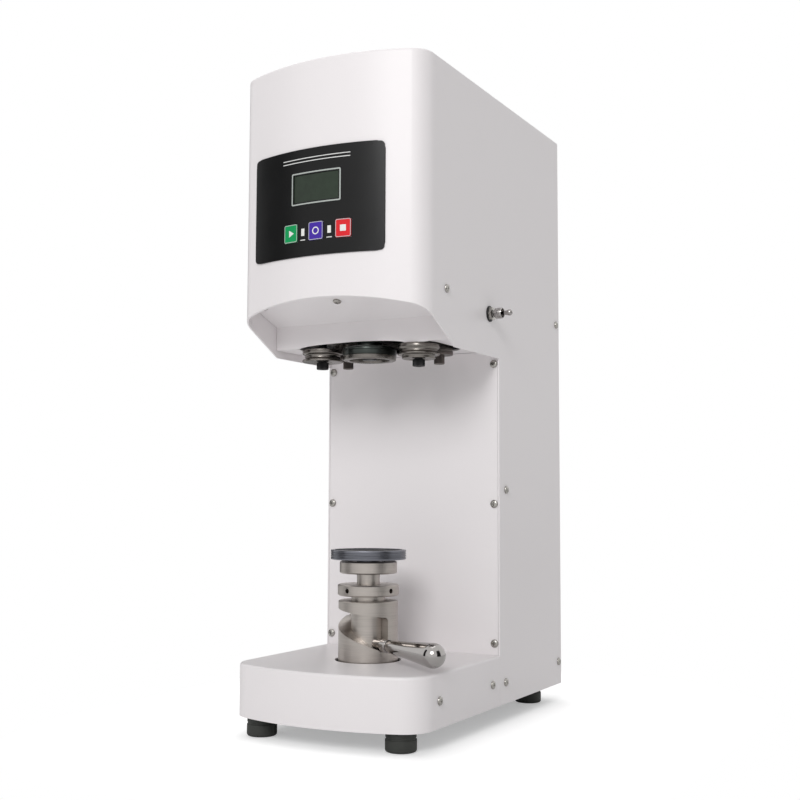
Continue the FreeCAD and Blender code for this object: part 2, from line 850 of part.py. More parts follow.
def make_under_plate():
    """Folded plate that closes the head from below: slope, step and level part with the roller mouth."""
    body = piece("under_plate")
    rise = "tan(size.under_slope * 1 deg)"
    reach = "(size.head_reach + size.trim_over)"
    profile = polygon(sketch(body, "YZ_Plane"), [
        ("size.column_front + size.sheet", "size.under_low"),
        ("size.column_front + size.sheet", "size.under_low + size.sheet"),
        ("-size.fold_front + size.sheet", "size.under_low + size.sheet"),
        ("-size.fold_front + size.sheet", "size.fold_high + size.sheet"),
        ("-" + reach,
         "size.fold_high + size.sheet + (%s - size.fold_front + size.sheet) * %s" % (reach, rise)),
        ("-" + reach, "size.fold_high + (%s - size.fold_front) * %s" % (reach, rise)),
        ("-size.fold_front", "size.fold_high"),
        ("-size.fold_front", "size.under_low"),
    ])
    pad(body, profile, "2 * size.inside", both=True)
    trim = head_outline(body, "0", "size.rear_reach", "size.sheet + size.seam_gap")
    rectangle(trim, "-size.overrun", "size.overrun", "-size.overrun", "size.rear_reach + size.trim_over")
    cut(body, trim)
    mouth = rounded(sketch(body, lift="size.under_low + size.sheet * 3"),
                    "-size.mouth_half", "size.mouth_half",
                    "-size.mouth_front", "size.mouth_rear", "size.mouth_corner")
    cut(body, mouth, "size.trim_over")
    holes = slope_sketch(body)
    for x in chin_screws:
        circle(holes, x, "0", "size.screw_hole")
    cut(body, holes, "size.sheet * 2", reverse=True)
    return body


def make_column_posts():
    """Four square tubes between floor plate and head plate."""
    body = piece("column_posts")
    drawing = sketch(body, lift="size.deck")
    front = "size.column_front + size.sheet * 2 + size.seam_gap * 2"
    rear = "size.rear_reach - size.sheet * 2 - size.seam_gap * 2 - size.post"
    for side in ("-1", "1"):
        for y in (front, rear):
            near = side + " * (size.inside - size.post)"
            far = side + " * size.inside"
            low, high = (near, far) if side == "1" else (far, near)
            rectangle(drawing, low, high, y, y + " + size.post")
            rectangle(drawing, low + " + size.post_wall", high + " - size.post_wall",
                      y + " + size.post_wall", y + " + size.post - size.post_wall")
    pad(body, drawing, "size.plate_low - size.deck")
    column_holes(body)
    return body


def make_head_plate():
    """Thick aluminium plate that carries the seaming head and both motors."""
    body = piece("head_plate")
    block(body, "-size.inside", "size.inside", "-size.plate_front",
          "size.rear_reach - size.sheet * 2 - size.seam_gap * 2", "size.plate_low", "size.plate_top")
    holes = circle(sketch(body), "0", "0", "size.quill_radius - size.spigot_in + size.fit_gap")
    circle(holes, "0", "size.cam_y", "size.cam_shaft + size.fit_gap")
    for side in ("-1", "1"):
        circle(holes, side + " * size.pivot_x", "size.pivot_y", "size.pivot_pin + size.fit_gap")
    switch_side = "(size.switch_half + size.switch_room * 1.5)"
    rectangle(holes, "size.half - size.sheet - size.switch_deep - size.switch_room", "size.half",
              "size.toggle_y - " + switch_side, "size.toggle_y + " + switch_side)
    cut(body, holes)
    column_holes(body)
    return body


def make_feet():
    """Rubber feet with a recess from below, and the screws that hold them to the floor plate."""
    feet = piece("rubber_feet")
    blocks = sketch(feet)
    recess = sketch(feet)
    screws = piece("foot_screws")
    heads = sketch(screws, lift="size.foot_height / 2 - size.foot_head_tall")
    shanks = sketch(screws, lift="size.foot_height / 2")
    for x, y in foot_places:
        circle(blocks, x, y, "size.foot_radius")
        circle(blocks, x, y, "size.foot_screw + size.fit_gap")
        circle(recess, x, y, "size.foot_head + size.foot_recess_gap")
        circle(heads, x, y, "size.foot_head")
        circle(shanks, x, y, "size.foot_screw")
    pad(feet, blocks, "size.foot_height")
    cut(feet, recess, "size.foot_height / 2", reverse=True)
    pad(screws, heads, "size.foot_head_tall")
    pad(screws, shanks, "size.foot_height / 2 + size.base_thick + size.foot_head_tall")


def make_casing_screws():
    """Pan-head screws of the side walls, of the column's front panel and of the rear panel."""
    body = piece("casing_screws")
    heads = sketch(body, "YZ_Plane", "size.half")
    shanks = sketch(body, "YZ_Plane", "size.half - size.screw_deep")
    for y, z in column_screws + base_screws:
        circle(heads, y, z, "size.screw_head")
        circle(shanks, y, z, "size.screw_shank")
    head = pad(body, heads, "size.screw_proud")
    shank = pad(body, shanks, "size.screw_deep")
    mirror(body, [head, shank])
    heads = sketch(body, "XZ_Plane", "-size.column_front")
    shanks = sketch(body, "XZ_Plane", "-size.column_front - size.screw_deep")
    for side, z in front_screws:
        circle(heads, side + front_screw_x, z, "size.screw_head")
        circle(shanks, side + front_screw_x, z, "size.screw_shank")
    pad(body, heads, "size.screw_proud")
    pad(body, shanks, "size.screw_deep")
    heads = sketch(body, "XZ_Plane", "-size.rear_reach")
    shanks = sketch(body, "XZ_Plane", "-size.rear_reach")
    for side, z in rear_screws:
        circle(heads, side + rear_screw_x, z, "size.screw_head")
        circle(shanks, side + rear_screw_x, z, "size.screw_shank")
    pad(body, heads, "size.screw_proud", reverse=True)
    pad(body, shanks, "size.screw_deep")


def make_lift():
    """Guide bush, spindle core, piston, adjusting ring, stem, bearing and turntable."""
    bush = piece("guide_bush")
    ring(bush, "size.core_radius + size.fit_gap", "size.sleeve_bore - size.fit_gap",
         "size.deck", "size.bush_top")
    block(bush, "-size.core_radius * 0.75", "size.core_radius * 0.75", "size.core_flat + size.fit_gap",
          "size.core_radius + size.key_over", "size.deck", "size.bush_top")
    core = piece("spindle_core")
    turned(core, [
        ("0", "size.core_foot"),
        ("size.core_radius", "size.core_foot"),
        ("size.core_radius", "size.piston_low - size.shoulder_gap - size.shoulder_thick"),
        ("size.shoulder_radius", "size.piston_low - size.shoulder_gap - size.shoulder_thick"),
        ("size.shoulder_radius", "size.piston_low - size.shoulder_gap"),
        ("size.core_radius", "size.piston_low - size.shoulder_gap"),
        ("size.core_radius", "size.core_top"),
        ("0", "size.core_top"),
    ])
    flat = rectangle(sketch(core, lift="size.core_foot"),
                     "-size.core_radius - size.core_room", "size.core_radius + size.core_room",
                     "size.core_flat", "size.core_radius + size.core_room")
    cut(core, flat, "size.bush_top + size.core_room - size.core_foot", reverse=True)
    piston = piece("lift_piston")
    piston.Placement.Rotation = FreeCAD.Rotation(FreeCAD.Vector(0, 0, 1), -size("rod_angle"))
    turned(piston, [
        ("size.core_radius + size.fit_gap", "size.piston_low"),
        ("size.piston_radius", "size.piston_low"),
        ("size.piston_radius", "size.piston_top"),
        ("size.stem_radius + size.fit_gap * 2", "size.piston_top"),
        ("size.stem_radius + size.fit_gap * 2", "size.stem_foot - size.stem_down - size.stem_room"),
        ("size.core_radius + size.fit_gap", "size.stem_foot - size.stem_down - size.stem_room"),
    ])
    cross_hole = circle(sketch(piston, "YZ_Plane"), "0", "size.rod_level", "size.rod_radius + size.fit_gap")
    cut(piston, cross_hole, "all", reverse=True)
    adjuster = piece("adjusting_ring")
    turned(adjuster, [
        ("size.stem_radius + size.fit_gap", "size.ring_low"),
        ("size.ring_radius - size.ring_edge", "size.ring_low"),
        ("size.ring_radius", "size.ring_low + size.ring_edge"),
        ("size.ring_radius", "size.ring_low + size.ring_thick - size.ring_edge"),
        ("size.ring_radius - size.ring_edge", "size.ring_low + size.ring_thick"),
        ("size.stem_radius + size.fit_gap", "size.ring_low + size.ring_thick"),
    ])
    for role in ("XZ_Plane", "YZ_Plane"):
        for away in ("size.ring_radius", "-size.ring_radius"):
            hole = circle(sketch(adjuster, role, away), "0",
                          "size.ring_low + size.ring_thick / 2", "size.ring_hole")
            cut(adjuster, hole, "size.ring_hole_deep", reverse=away.startswith("-"))
    adjuster.Placement.Rotation = FreeCAD.Rotation(FreeCAD.Vector(0, 0, 1), -size("ring_angle"))
    stem = piece("height_stem")
    turned(stem, [
        ("size.core_radius + size.fit_gap", "size.stem_foot"),
        ("size.stem_radius", "size.stem_foot"),
        ("size.stem_radius", "size.housing_low"),
        ("size.core_radius", "size.housing_low"),
        ("size.core_radius", "size.housing_low + size.housing_floor - size.stem_tip_gap"),
        ("0", "size.housing_low + size.housing_floor - size.stem_tip_gap"),
        ("0", "size.housing_low - size.stem_cap"),
        ("size.core_radius + size.fit_gap", "size.housing_low - size.stem_cap"),
    ])
    housing = piece("bearing_housing")
    race_low = "size.housing_low + size.housing_floor"
    race_high = race_low + " + size.race_thick"
    turned(housing, [
        ("size.core_radius + size.fit_gap", "size.housing_low"),
        ("size.housing_radius - size.housing_edge", "size.housing_low"),
        ("size.housing_radius", "size.housing_low + size.housing_edge"),
        ("size.housing_radius", "size.housing_low + size.housing_thick - size.housing_edge"),
        ("size.housing_radius - size.housing_edge", "size.housing_low + size.housing_thick"),
        ("size.race_radius + size.fit_gap", "size.housing_low + size.housing_thick"),
        ("size.race_radius + size.fit_gap", race_low),
        ("size.core_radius + size.fit_gap", race_low),
    ])
    bearing = piece("turntable_bearing")
    ring(bearing, "size.race_bore", "size.race_radius", race_low, race_high)
    platform = piece("platform")
    journal = "size.race_bore - size.fit_gap"
    turned(platform, [
        ("0", race_low + " + size.journal_gap"),
        (journal, race_low + " + size.journal_gap"),
        (journal, race_high + " + size.seat_gap"),
        ("size.race_bore + size.table_neck", race_high + " + size.seat_gap"),
        ("size.race_bore + size.table_neck", "size.table_low"),
        ("size.table_radius - size.table_under_edge", "size.table_low"),
        ("size.table_radius", "size.table_low + size.table_under_edge"),
        ("size.table_radius", "size.table_top - size.table_edge"),
        ("size.table_radius - size.table_edge", "size.table_top"),
        ("size.pad_radius + size.seat_gap", "size.table_top"),
        ("size.pad_radius + size.seat_gap", "size.table_top - size.pad_sunk"),
        ("0", "size.table_top - size.pad_sunk"),
    ])
    mat = piece("rubber_pad")
    pocket = "size.table_top - size.pad_sunk"
    disc(mat, "size.pad_radius", pocket, pocket + " + size.pad_thick")


def make_lever():
    """Rod that rides in the helical slot, and its polished teardrop grip, both along the rod's axis."""
    for name in ("lever_rod", "lever_grip"):
        body = piece(name)
        spin = FreeCAD.Rotation(FreeCAD.Vector(0, 0, 1), -size("rod_angle"))
        tip_over = FreeCAD.Rotation(FreeCAD.Vector(0, 1, 0), 90)
        body.Placement = FreeCAD.Placement(FreeCAD.Vector(0, 0, 0), spin.multiply(tip_over))
        place(body, z="size.rod_level")
        if name == "lever_rod":
            turned(body, [
                ("0", "size.core_radius + size.rod_root"),
                ("size.rod_radius - size.rod_edge", "size.core_radius + size.rod_root"),
                ("size.rod_radius", "size.core_radius + size.rod_root + size.rod_edge"),
                ("size.rod_radius", "size.grip_start - size.collar_start"),
                ("size.grip_neck", "size.grip_start - size.collar_end"),
                ("size.grip_neck", "size.grip_start"),
                ("0", "size.grip_start"),
            ])
        else:
            teardrop(body)


def teardrop(body):
    """Grip profile: narrow neck that swells to a ball end, one smooth curve turned about the rod's axis."""
    drawing = sketch(body, "XZ_Plane")
    start = size("grip_start")
    length = size("grip_length")
    fat = size("grip_radius")
    neck = size("grip_neck")
    ball = start + length - fat
    lean = math.asin((fat - neck) / (ball - start))
    touch = FreeCAD.Vector(fat * math.cos(lean), ball - fat * math.sin(lean), 0)
    drawing.addGeometry(Part.LineSegment(FreeCAD.Vector(0, start, 0), FreeCAD.Vector(neck, start, 0)))
    drawing.addGeometry(Part.LineSegment(FreeCAD.Vector(neck, start, 0), touch))
    ball_circle = Part.Circle(FreeCAD.Vector(0, ball, 0), FreeCAD.Vector(0, 0, 1), fat)
    drawing.addGeometry(Part.ArcOfCircle(ball_circle, -lean, math.pi / 2))
    drawing.addGeometry(Part.LineSegment(FreeCAD.Vector(0, start + length, 0), FreeCAD.Vector(0, start, 0)))
    drawing.addConstraint(Sketcher.Constraint("Coincident", 0, 2, 1, 1))
    drawing.addConstraint(Sketcher.Constraint("Tangent", 1, 2, 2, 1))
    drawing.addConstraint(Sketcher.Constraint("Coincident", 2, 2, 3, 1))
    drawing.addConstraint(Sketcher.Constraint("Coincident", 3, 2, 0, 1))
    drawing.addConstraint(Sketcher.Constraint("Horizontal", 0))
    drawing.addConstraint(Sketcher.Constraint("PointOnObject", 2, 3, -2))
    drawing.addConstraint(Sketcher.Constraint("PointOnObject", 2, 2, -2))
    drawing.addConstraint(Sketcher.Constraint("PointOnObject", 0, 1, -2))
    held = [
        (Sketcher.Constraint("DistanceY", -1, 1, 0, 1, start), "size.grip_start"),
        (Sketcher.Constraint("DistanceX", -1, 1, 0, 2, neck), "size.grip_neck"),
        (Sketcher.Constraint("DistanceY", -1, 1, 2, 2, start + length), "size.grip_start + size.grip_length"),
        (Sketcher.Constraint("Radius", 2, fat), "size.grip_radius"),
    ]
    for constraint, rule in held:
        number = drawing.addConstraint(constraint)
        bind(drawing, "Constraints[%d]" % number, rule)
    feature = body.newObject("PartDesign::Revolution", body.Name + "_turned")
    feature.Profile = drawing
    feature.ReferenceAxis = (drawing, ["V_Axis"])
    feature.Angle = 360.0
    body.Tip = feature


def solid(name, shape, x="0", y="0", z="0"):
    """A sub-part whose form is worked out with shape functions."""
    thing = doc.addObject("Part::Feature", name)
    thing.Label = name
    thing.Shape = shape
    place(thing, x, y, z)
    parts.append(thing)
    return thing


def spot(angle, radius, level):
    """Point round the sleeve; the angle runs clockwise from +X, seen from above."""
    turn = math.radians(-angle)
    return FreeCAD.Vector(radius * math.cos(turn), radius * math.sin(turn), level)


def slot_floor(angle):
    """Level of the ramp that the rod rides on."""
    inner_slope = math.atan(math.degrees(size("lift_rate")) / size("sleeve_bore"))
    below = size("rod_radius") / math.cos(inner_slope) + size("ramp_gap")
    return size("rod_level") + size("lift_rate") * (angle - size("rod_angle")) - below


def slot_roof(angle):
    return size("slot_roof") + size("roof_rate") * (angle - size("rod_angle"))


def slot_end(angle):
    """End of the slot: a rounded window cut square to the sleeve at one angle."""
    half = size("rod_radius") + size("slot_end_gap")
    low = slot_floor(angle)
    high = slot_roof(angle)
    near = size("core_radius")
    far = size("sleeve_radius") + size("tool_over")
    window = Part.makeBox(far - near, 2 * half, high - low, FreeCAD.Vector(near, -half, low))
    long_edges = [edge for edge in window.Edges if edge.BoundBox.XLength > size("tool_over")]
    window = window.makeFillet(size("slot_corner"), long_edges)
    window.rotate(FreeCAD.Vector(0, 0, 0), FreeCAD.Vector(0, 0, 1), -angle)
    return window


def make_cam_sleeve():
    """Stainless sleeve whose helical slot lifts the lever, and with it the platform, as the lever swings."""
    base = size("deck")
    outer = size("sleeve_radius")
    tube = Part.makeCylinder(outer, size("sleeve_top") - base, FreeCAD.Vector(0, 0, base))
    flange = Part.makeCylinder(size("sleeve_flange"), size("flange_thick"), FreeCAD.Vector(0, 0, base))
    sleeve = tube.fuse(flange).removeSplitter()
    rim_level = size("sleeve_top") - size("fit_gap")
    top_edges = [edge for edge in sleeve.Edges if edge.BoundBox.ZMin > rim_level]
    sleeve = sleeve.makeChamfer(size("sleeve_edge"), top_edges)
    bore = Part.makeCylinder(size("sleeve_bore"), size("sleeve_top"), FreeCAD.Vector(0, 0, base / 2))
    sleeve = sleeve.cut(bore)
    first = size("rod_angle")
    last = first + size("lift_swing") + size("slot_over_swing")
    steps = 16
    rings = []
    for step in range(steps + 1):
        angle = first + (last - first) * step / steps
        near = size("core_radius")
        far = outer + size("tool_over")
        corners = [spot(angle, near, slot_floor(angle)), spot(angle, far, slot_floor(angle)),
                   spot(angle, far, slot_roof(angle)), spot(angle, near, slot_roof(angle))]
        rings.append(Part.makePolygon(corners + corners[:1]))
    sweep = Part.makeLoft(rings, True, False)
    for tool in (sweep, slot_end(first), slot_end(last)):
        sleeve = sleeve.cut(tool)
    away = size("flange_bolts") / math.sqrt(2)
    bolt_room = size("flange_bolt") + size("fit_gap")
    for x in (-away, away):
        for y in (-away, away):
            centre = FreeCAD.Vector(x, y, base)
            sleeve = sleeve.cut(Part.makeCylinder(bolt_room, size("flange_thick"), centre))
    solid("cam_sleeve", sleeve.removeSplitter())


def make_sleeve_bolts():
    body = piece("sleeve_bolts")
    heads = sketch(body, lift="size.deck + size.flange_thick")
    shanks = sketch(body, lift="size.foot_height")
    for x, y in bolt_places:
        circle(heads, x, y, "size.bolt_head")
        circle(shanks, x, y, "size.flange_bolt")
    pad(body, heads, "size.bolt_head_tall")
    pad(body, shanks, "size.base_thick + size.flange_thick")


def hull_of_two(one, one_radius, other, other_radius, low, tall):
    """Upright prism round two circles and the straight flanks that touch both."""
    gap = other.sub(one)
    apart = math.hypot(gap.x, gap.y)
    way = math.atan2(gap.y, gap.x)
    lean = math.acos((one_radius - other_radius) / apart)
    marks = []
    for centre, radius, turn in ((one, one_radius, way + lean), (one, one_radius, way - lean),
                                 (other, other_radius, way - lean), (other, other_radius, way + lean)):
        touch = FreeCAD.Vector(radius * math.cos(turn), radius * math.sin(turn), 0)
        marks.append(FreeCAD.Vector(centre.x, centre.y, low).add(touch))
    flank = Part.Face(Part.makePolygon(marks + marks[:1])).extrude(FreeCAD.Vector(0, 0, tall))
    ends = [Part.makeCylinder(radius, tall, FreeCAD.Vector(centre.x, centre.y, low))
            for centre, radius in ((one, one_radius), (other, other_radius))]
    return flank.fuse(ends).removeSplitter()


def make_arm(name, side):
    """Swing arm: roller end, tall pivot boss, spring post and the tail that follows the cam."""
    low = size("arm_low")
    tall = size("arm_thick")
    roller_end = FreeCAD.Vector(side * size("roller_x"), 0, low)
    pivot = FreeCAD.Vector(side * size("pivot_x"), size("pivot_y"), low)
    post = FreeCAD.Vector(side * size("pivot_x"), size("pivot_y") + size("post_y"), low)
    tail = FreeCAD.Vector(side * size("cam_mean"), size("cam_y"), low)
    arm = hull_of_two(roller_end, size("arm_end"), pivot, size("pivot_boss"), low, tall)
    arm = arm.fuse(hull_of_two(pivot, size("arm_waist"), post, size("arm_post_end"), low, tall))
    arm = arm.fuse(hull_of_two(post, size("arm_tail"), tail, size("follower_radius"), low, tall))
    boss_foot = FreeCAD.Vector(pivot.x, pivot.y, size("boss_low"))
    tail_foot = FreeCAD.Vector(tail.x, tail.y, size("cam_low"))
    boss = Part.makeCylinder(size("pivot_boss"), size("arm_top") - size("boss_low"), boss_foot)
    arm = arm.fuse(boss)
    follower = Part.makeCylinder(size("follower_radius"), size("cam_thick"), tail_foot)
    neck_radius = size("follower_radius") - size("follower_neck_in")
    neck = Part.makeCylinder(neck_radius, low - size("cam_low"), tail_foot)
    peg = Part.makeCylinder(size("peg_radius"), size("spring_level") + size("peg_over") - low, post)
    arm = arm.fuse([follower, neck, peg])
    over = size("tool_over")
    through = size("arm_top") - size("boss_low") + 2 * over
    for centre, radius in ((pivot, size("pivot_pin")), (roller_end, size("roller_pin"))):
        foot = FreeCAD.Vector(centre.x, centre.y, size("boss_low") - over)
        arm = arm.cut(Part.makeCylinder(radius + size("fit_gap"), through, foot))
    solid(name, arm.removeSplitter())


def follower_place(side, cam_angle):
    """Where a follower stands when the cam has turned: the arms swing in step with the cam."""
    swing = math.radians(size("arm_swing") * cam_angle / size("cam_swing"))
    pivot_x = side * size("pivot_x")
    pivot_y = size("pivot_y")
    x = side * size("cam_mean") - pivot_x
    y = size("cam_y") - pivot_y
    return (pivot_x + x * math.cos(swing) - y * math.sin(swing),
            pivot_y + x * math.sin(swing) + y * math.cos(swing))


def cam_point(side, turn):
    """Point of the cam's rim: a follower's path as the cam sees it, moved in by the follower's radius."""
    nudge = 0.5

    def seen(angle):
        x, y = follower_place(side, angle)
        far = math.hypot(x, y - size("cam_y"))
        way = math.atan2(y - size("cam_y"), x) - math.radians(angle)
        return FreeCAD.Vector(far * math.cos(way), far * math.sin(way), 0)
    here = seen(turn)
    along = seen(turn - nudge).sub(seen(turn + nudge))
    inward = FreeCAD.Vector(-along.y, along.x, 0).normalize()
    return here.add(inward.multiply(size("follower_radius") + size("follower_gap")))


def make_cam():
    """Constant-breadth cam with its shaft: it presses one follower out while it lets the other one in."""
    swing = size("cam_swing")
    steps = 8
    points = []
    for side in (1, -1):
        for step in range(steps + 1):
            points.append(cam_point(side, swing - 2 * swing * step / steps))
        last = points[-1]
        rise = 1 if side == 1 else -1
        points.append(FreeCAD.Vector(0, rise * last.Length, 0))
    centre = FreeCAD.Vector(0, size("cam_y"), size("cam_low"))
    rim = Part.BSplineCurve()
    rim.interpolate(Points=[point.add(centre) for point in points], PeriodicFlag=True)
    plate = Part.Face(Part.Wire(rim.toShape())).extrude(FreeCAD.Vector(0, 0, size("cam_thick")))
    shaft_tall = size("plate_top") + size("cam_shaft_over") - size("cam_low")
    shaft = Part.makeCylinder(size("cam_shaft"), shaft_tall, centre)
    hub_low = FreeCAD.Vector(0, 0, size("cam_thick"))
    hub = Part.makeCylinder(size("cam_shaft") + size("cam_hub"), size("cam_hub_tall"), centre.add(hub_low))
    solid("seaming_cam", plate.fuse([shaft, hub]).removeSplitter())


def make_arm_spring():
    """Tension spring between the arms' pegs, as its coil's outer form with a loop at each end."""
    level = size("spring_level")
    y = size("pivot_y") + size("post_y")
    reach = size("pivot_x")
    wire = size("spring_wire")
    loop = size("peg_radius") + wire + size("seat_gap")
    end = size("spring_end")
    spring = Part.makeCylinder(size("spring_radius"), 2 * (reach - end),
                               FreeCAD.Vector(end - reach, y, level), FreeCAD.Vector(1, 0, 0))
    for side in (-1, 1):
        eye = Part.makeTorus(loop, wire, FreeCAD.Vector(side * reach, y, level), FreeCAD.Vector(0, 0, 1))
        start = FreeCAD.Vector(side * (reach - end), y, level)
        link = Part.makeCylinder(wire, end - loop, start, FreeCAD.Vector(side, 0, 0))
        spring = spring.fuse([eye, link])
    solid("arm_spring", spring.removeSplitter())


def make_rollers():
    """First-operation roller on the left, second-operation one on the right, each on its shoulder bolt."""
    for name, side, low_name in (("left", "-1", "left_roller_low"), ("right", "1", "right_roller_low")):
        roller = piece(name + "_roller", side + " * size.roller_x")
        low = "size." + low_name
        bore = "size.roller_pin + size.fit_gap"
        rim = "size.roller_radius"
        if name == "left":
            floor = rim + " - size.first_groove_deep"
            corners = [
                (bore, low),
                (rim, low),
                (rim, low + " + size.first_groove_low"),
                (floor, low + " + size.first_floor_low"),
                (floor, low + " + size.first_floor_high"),
                (rim, low + " + size.first_groove_high"),
            ]
        else:
            foot = rim + " - size.second_foot_in"
            floor = rim + " - size.second_groove_deep"
            corners = [
                (bore, low),
                (foot, low),
                (foot, low + " + size.second_foot"),
                (rim, low + " + size.second_brim_low"),
                (rim, low + " + size.second_brim_high"),
                (floor, low + " + size.second_floor_low"),
                (floor, low + " + size.second_floor_high"),
                (rim, low + " + size.second_groove_high"),
            ]
        corners += [
            (rim, "size.roller_top - size.roller_edge"),
            (rim + " - size.roller_edge", "size.roller_top"),
            (bore, "size.roller_top"),
        ]
        turned(roller, corners)
        bolt = piece(name + "_roller_bolt", side + " * size.roller_x")
        head = low + " - size.seat_gap"
        turned(bolt, [
            ("0", head + " - size.roller_head_tall"),
            ("size.roller_head", head + " - size.roller_head_tall"),
            ("size.roller_head", head),
            ("size.roller_pin", head),
            ("size.roller_pin", "size.roller_top + size.seat_gap"),
            ("size.roller_collar", "size.roller_top + size.seat_gap"),
            ("size.roller_collar", "size.arm_low"),
            ("size.roller_pin", "size.arm_low"),
            ("size.roller_pin", "size.arm_top"),
            ("size.roller_nut", "size.arm_top"),
            ("size.roller_nut", "size.arm_top + size.roller_nut_tall"),
            ("0", "size.arm_top + size.roller_nut_tall"),
        ])


def make_pivot_bolts():
    """Bolts that the arms swing on, each with its disc below and its spacer up to the head plate."""
    body = piece("pivot_bolts")
    levels = [
        ("size.pivot_head", "size.boss_low - size.pivot_disc - size.pivot_head_tall",
         "size.boss_low - size.pivot_disc"),
        ("size.pivot_boss", "size.boss_low - size.pivot_disc", "size.boss_low - size.seat_gap"),
        ("size.pivot_pin", "size.boss_low - size.seat_gap", "size.plate_top"),
        ("size.pivot_pin + size.pivot_collar", "size.arm_top + size.seat_gap", "size.plate_low"),
    ]
    for radius, low, high in levels:
        drawing = sketch(body, lift=low)
        for side in ("-1", "1"):
            circle(drawing, side + " * size.pivot_x", "size.pivot_y", radius)
        pad(body, drawing, "(%s) - (%s)" % (high, low))
    return body


def make_chuck():
    """Chuck with the recess and lip that the lid's countersink fits, its bolt, shaft and driven pulley."""
    chuck = piece("seaming_chuck")
    rim = "size.chuck_radius"
    low = "size.chuck_low"
    bolt_hole = "size.chuck_bolt_radius + size.chuck_bolt_room"
    pilot_hole = "size.pilot_radius + size.fit_gap"
    turned(chuck, [
        (bolt_hole, low + " + size.chuck_recess_deep"),
        ("size.chuck_recess - size.chuck_recess_taper", low + " + size.chuck_recess_deep"),
        ("size.chuck_recess", low),
        (rim + " - size.chuck_lip_in", low),
        (rim + " - size.chuck_lip_step", low + " + size.chuck_lip_tall"),
        (rim, low + " + size.chuck_rim_low"),
        (rim, low + " + size.chuck_rim_high"),
        (rim + " - size.chuck_back_in", low + " + size.chuck_tall"),
        ("size.chuck_neck", low + " + size.chuck_tall"),
        ("size.chuck_neck", low + " + size.chuck_neck_top"),
        (pilot_hole, low + " + size.chuck_neck_top"),
        (pilot_hole, low + " + size.pilot_low"),
        (bolt_hole, low + " + size.pilot_low"),
    ])
    bolt = piece("chuck_bolt")
    turned(bolt, [
        ("0", low + " + size.chuck_bolt_low"),
        ("size.chuck_bolt_head", low + " + size.chuck_bolt_low"),
        ("size.chuck_bolt_head", low + " + size.chuck_recess_deep"),
        ("size.chuck_bolt_radius", low + " + size.chuck_recess_deep"),
        ("size.chuck_bolt_radius", low + " + size.chuck_bolt_end"),
        ("0", low + " + size.chuck_bolt_end"),
    ])
    shaft = piece("chuck_shaft")
    thread_hole = "size.chuck_bolt_radius + size.fit_gap"
    pilot_foot = low + " + size.pilot_low + size.pilot_gap"
    thread_end = low + " + size.chuck_bolt_end + size.shaft_bore_room"
    turned(shaft, [
        (thread_hole, pilot_foot),
        ("size.pilot_radius", pilot_foot),
        ("size.pilot_radius", low + " + size.chuck_neck_top"),
        ("size.shaft_radius", low + " + size.chuck_neck_top"),
        ("size.shaft_radius", "size.shaft_top"),
        ("0", "size.shaft_top"),
        ("0", thread_end),
        (thread_hole, thread_end),
    ])
    shaft_hole = "size.shaft_radius + size.fit_gap"
    for name, y, radius, inner in (("driven_pulley", "0", "size.driven_radius", shaft_hole),
                                   ("motor_pulley", "size.motor_y", "size.driver_radius", "0")):
        wheel = piece(name, y=y)
        base = "size.pulley_low"
        top = base + " + size.pulley_tall"
        brim = radius + " + size.pulley_brim"
        turned(wheel, [
            (inner, base),
            (brim, base),
            (brim, base + " + size.pulley_flange"),
            (radius, base + " + size.pulley_flange"),
            (radius, top + " - size.pulley_flange"),
            (brim, top + " - size.pulley_flange"),
            (brim, top),
            (inner, top),
        ])
        if name == "motor_pulley":
            disc(wheel, "size.motor_bore - size.fit_gap * 2", "size.motor_top - size.pulley_rise",
                 base + " + size.pulley_hub_over")


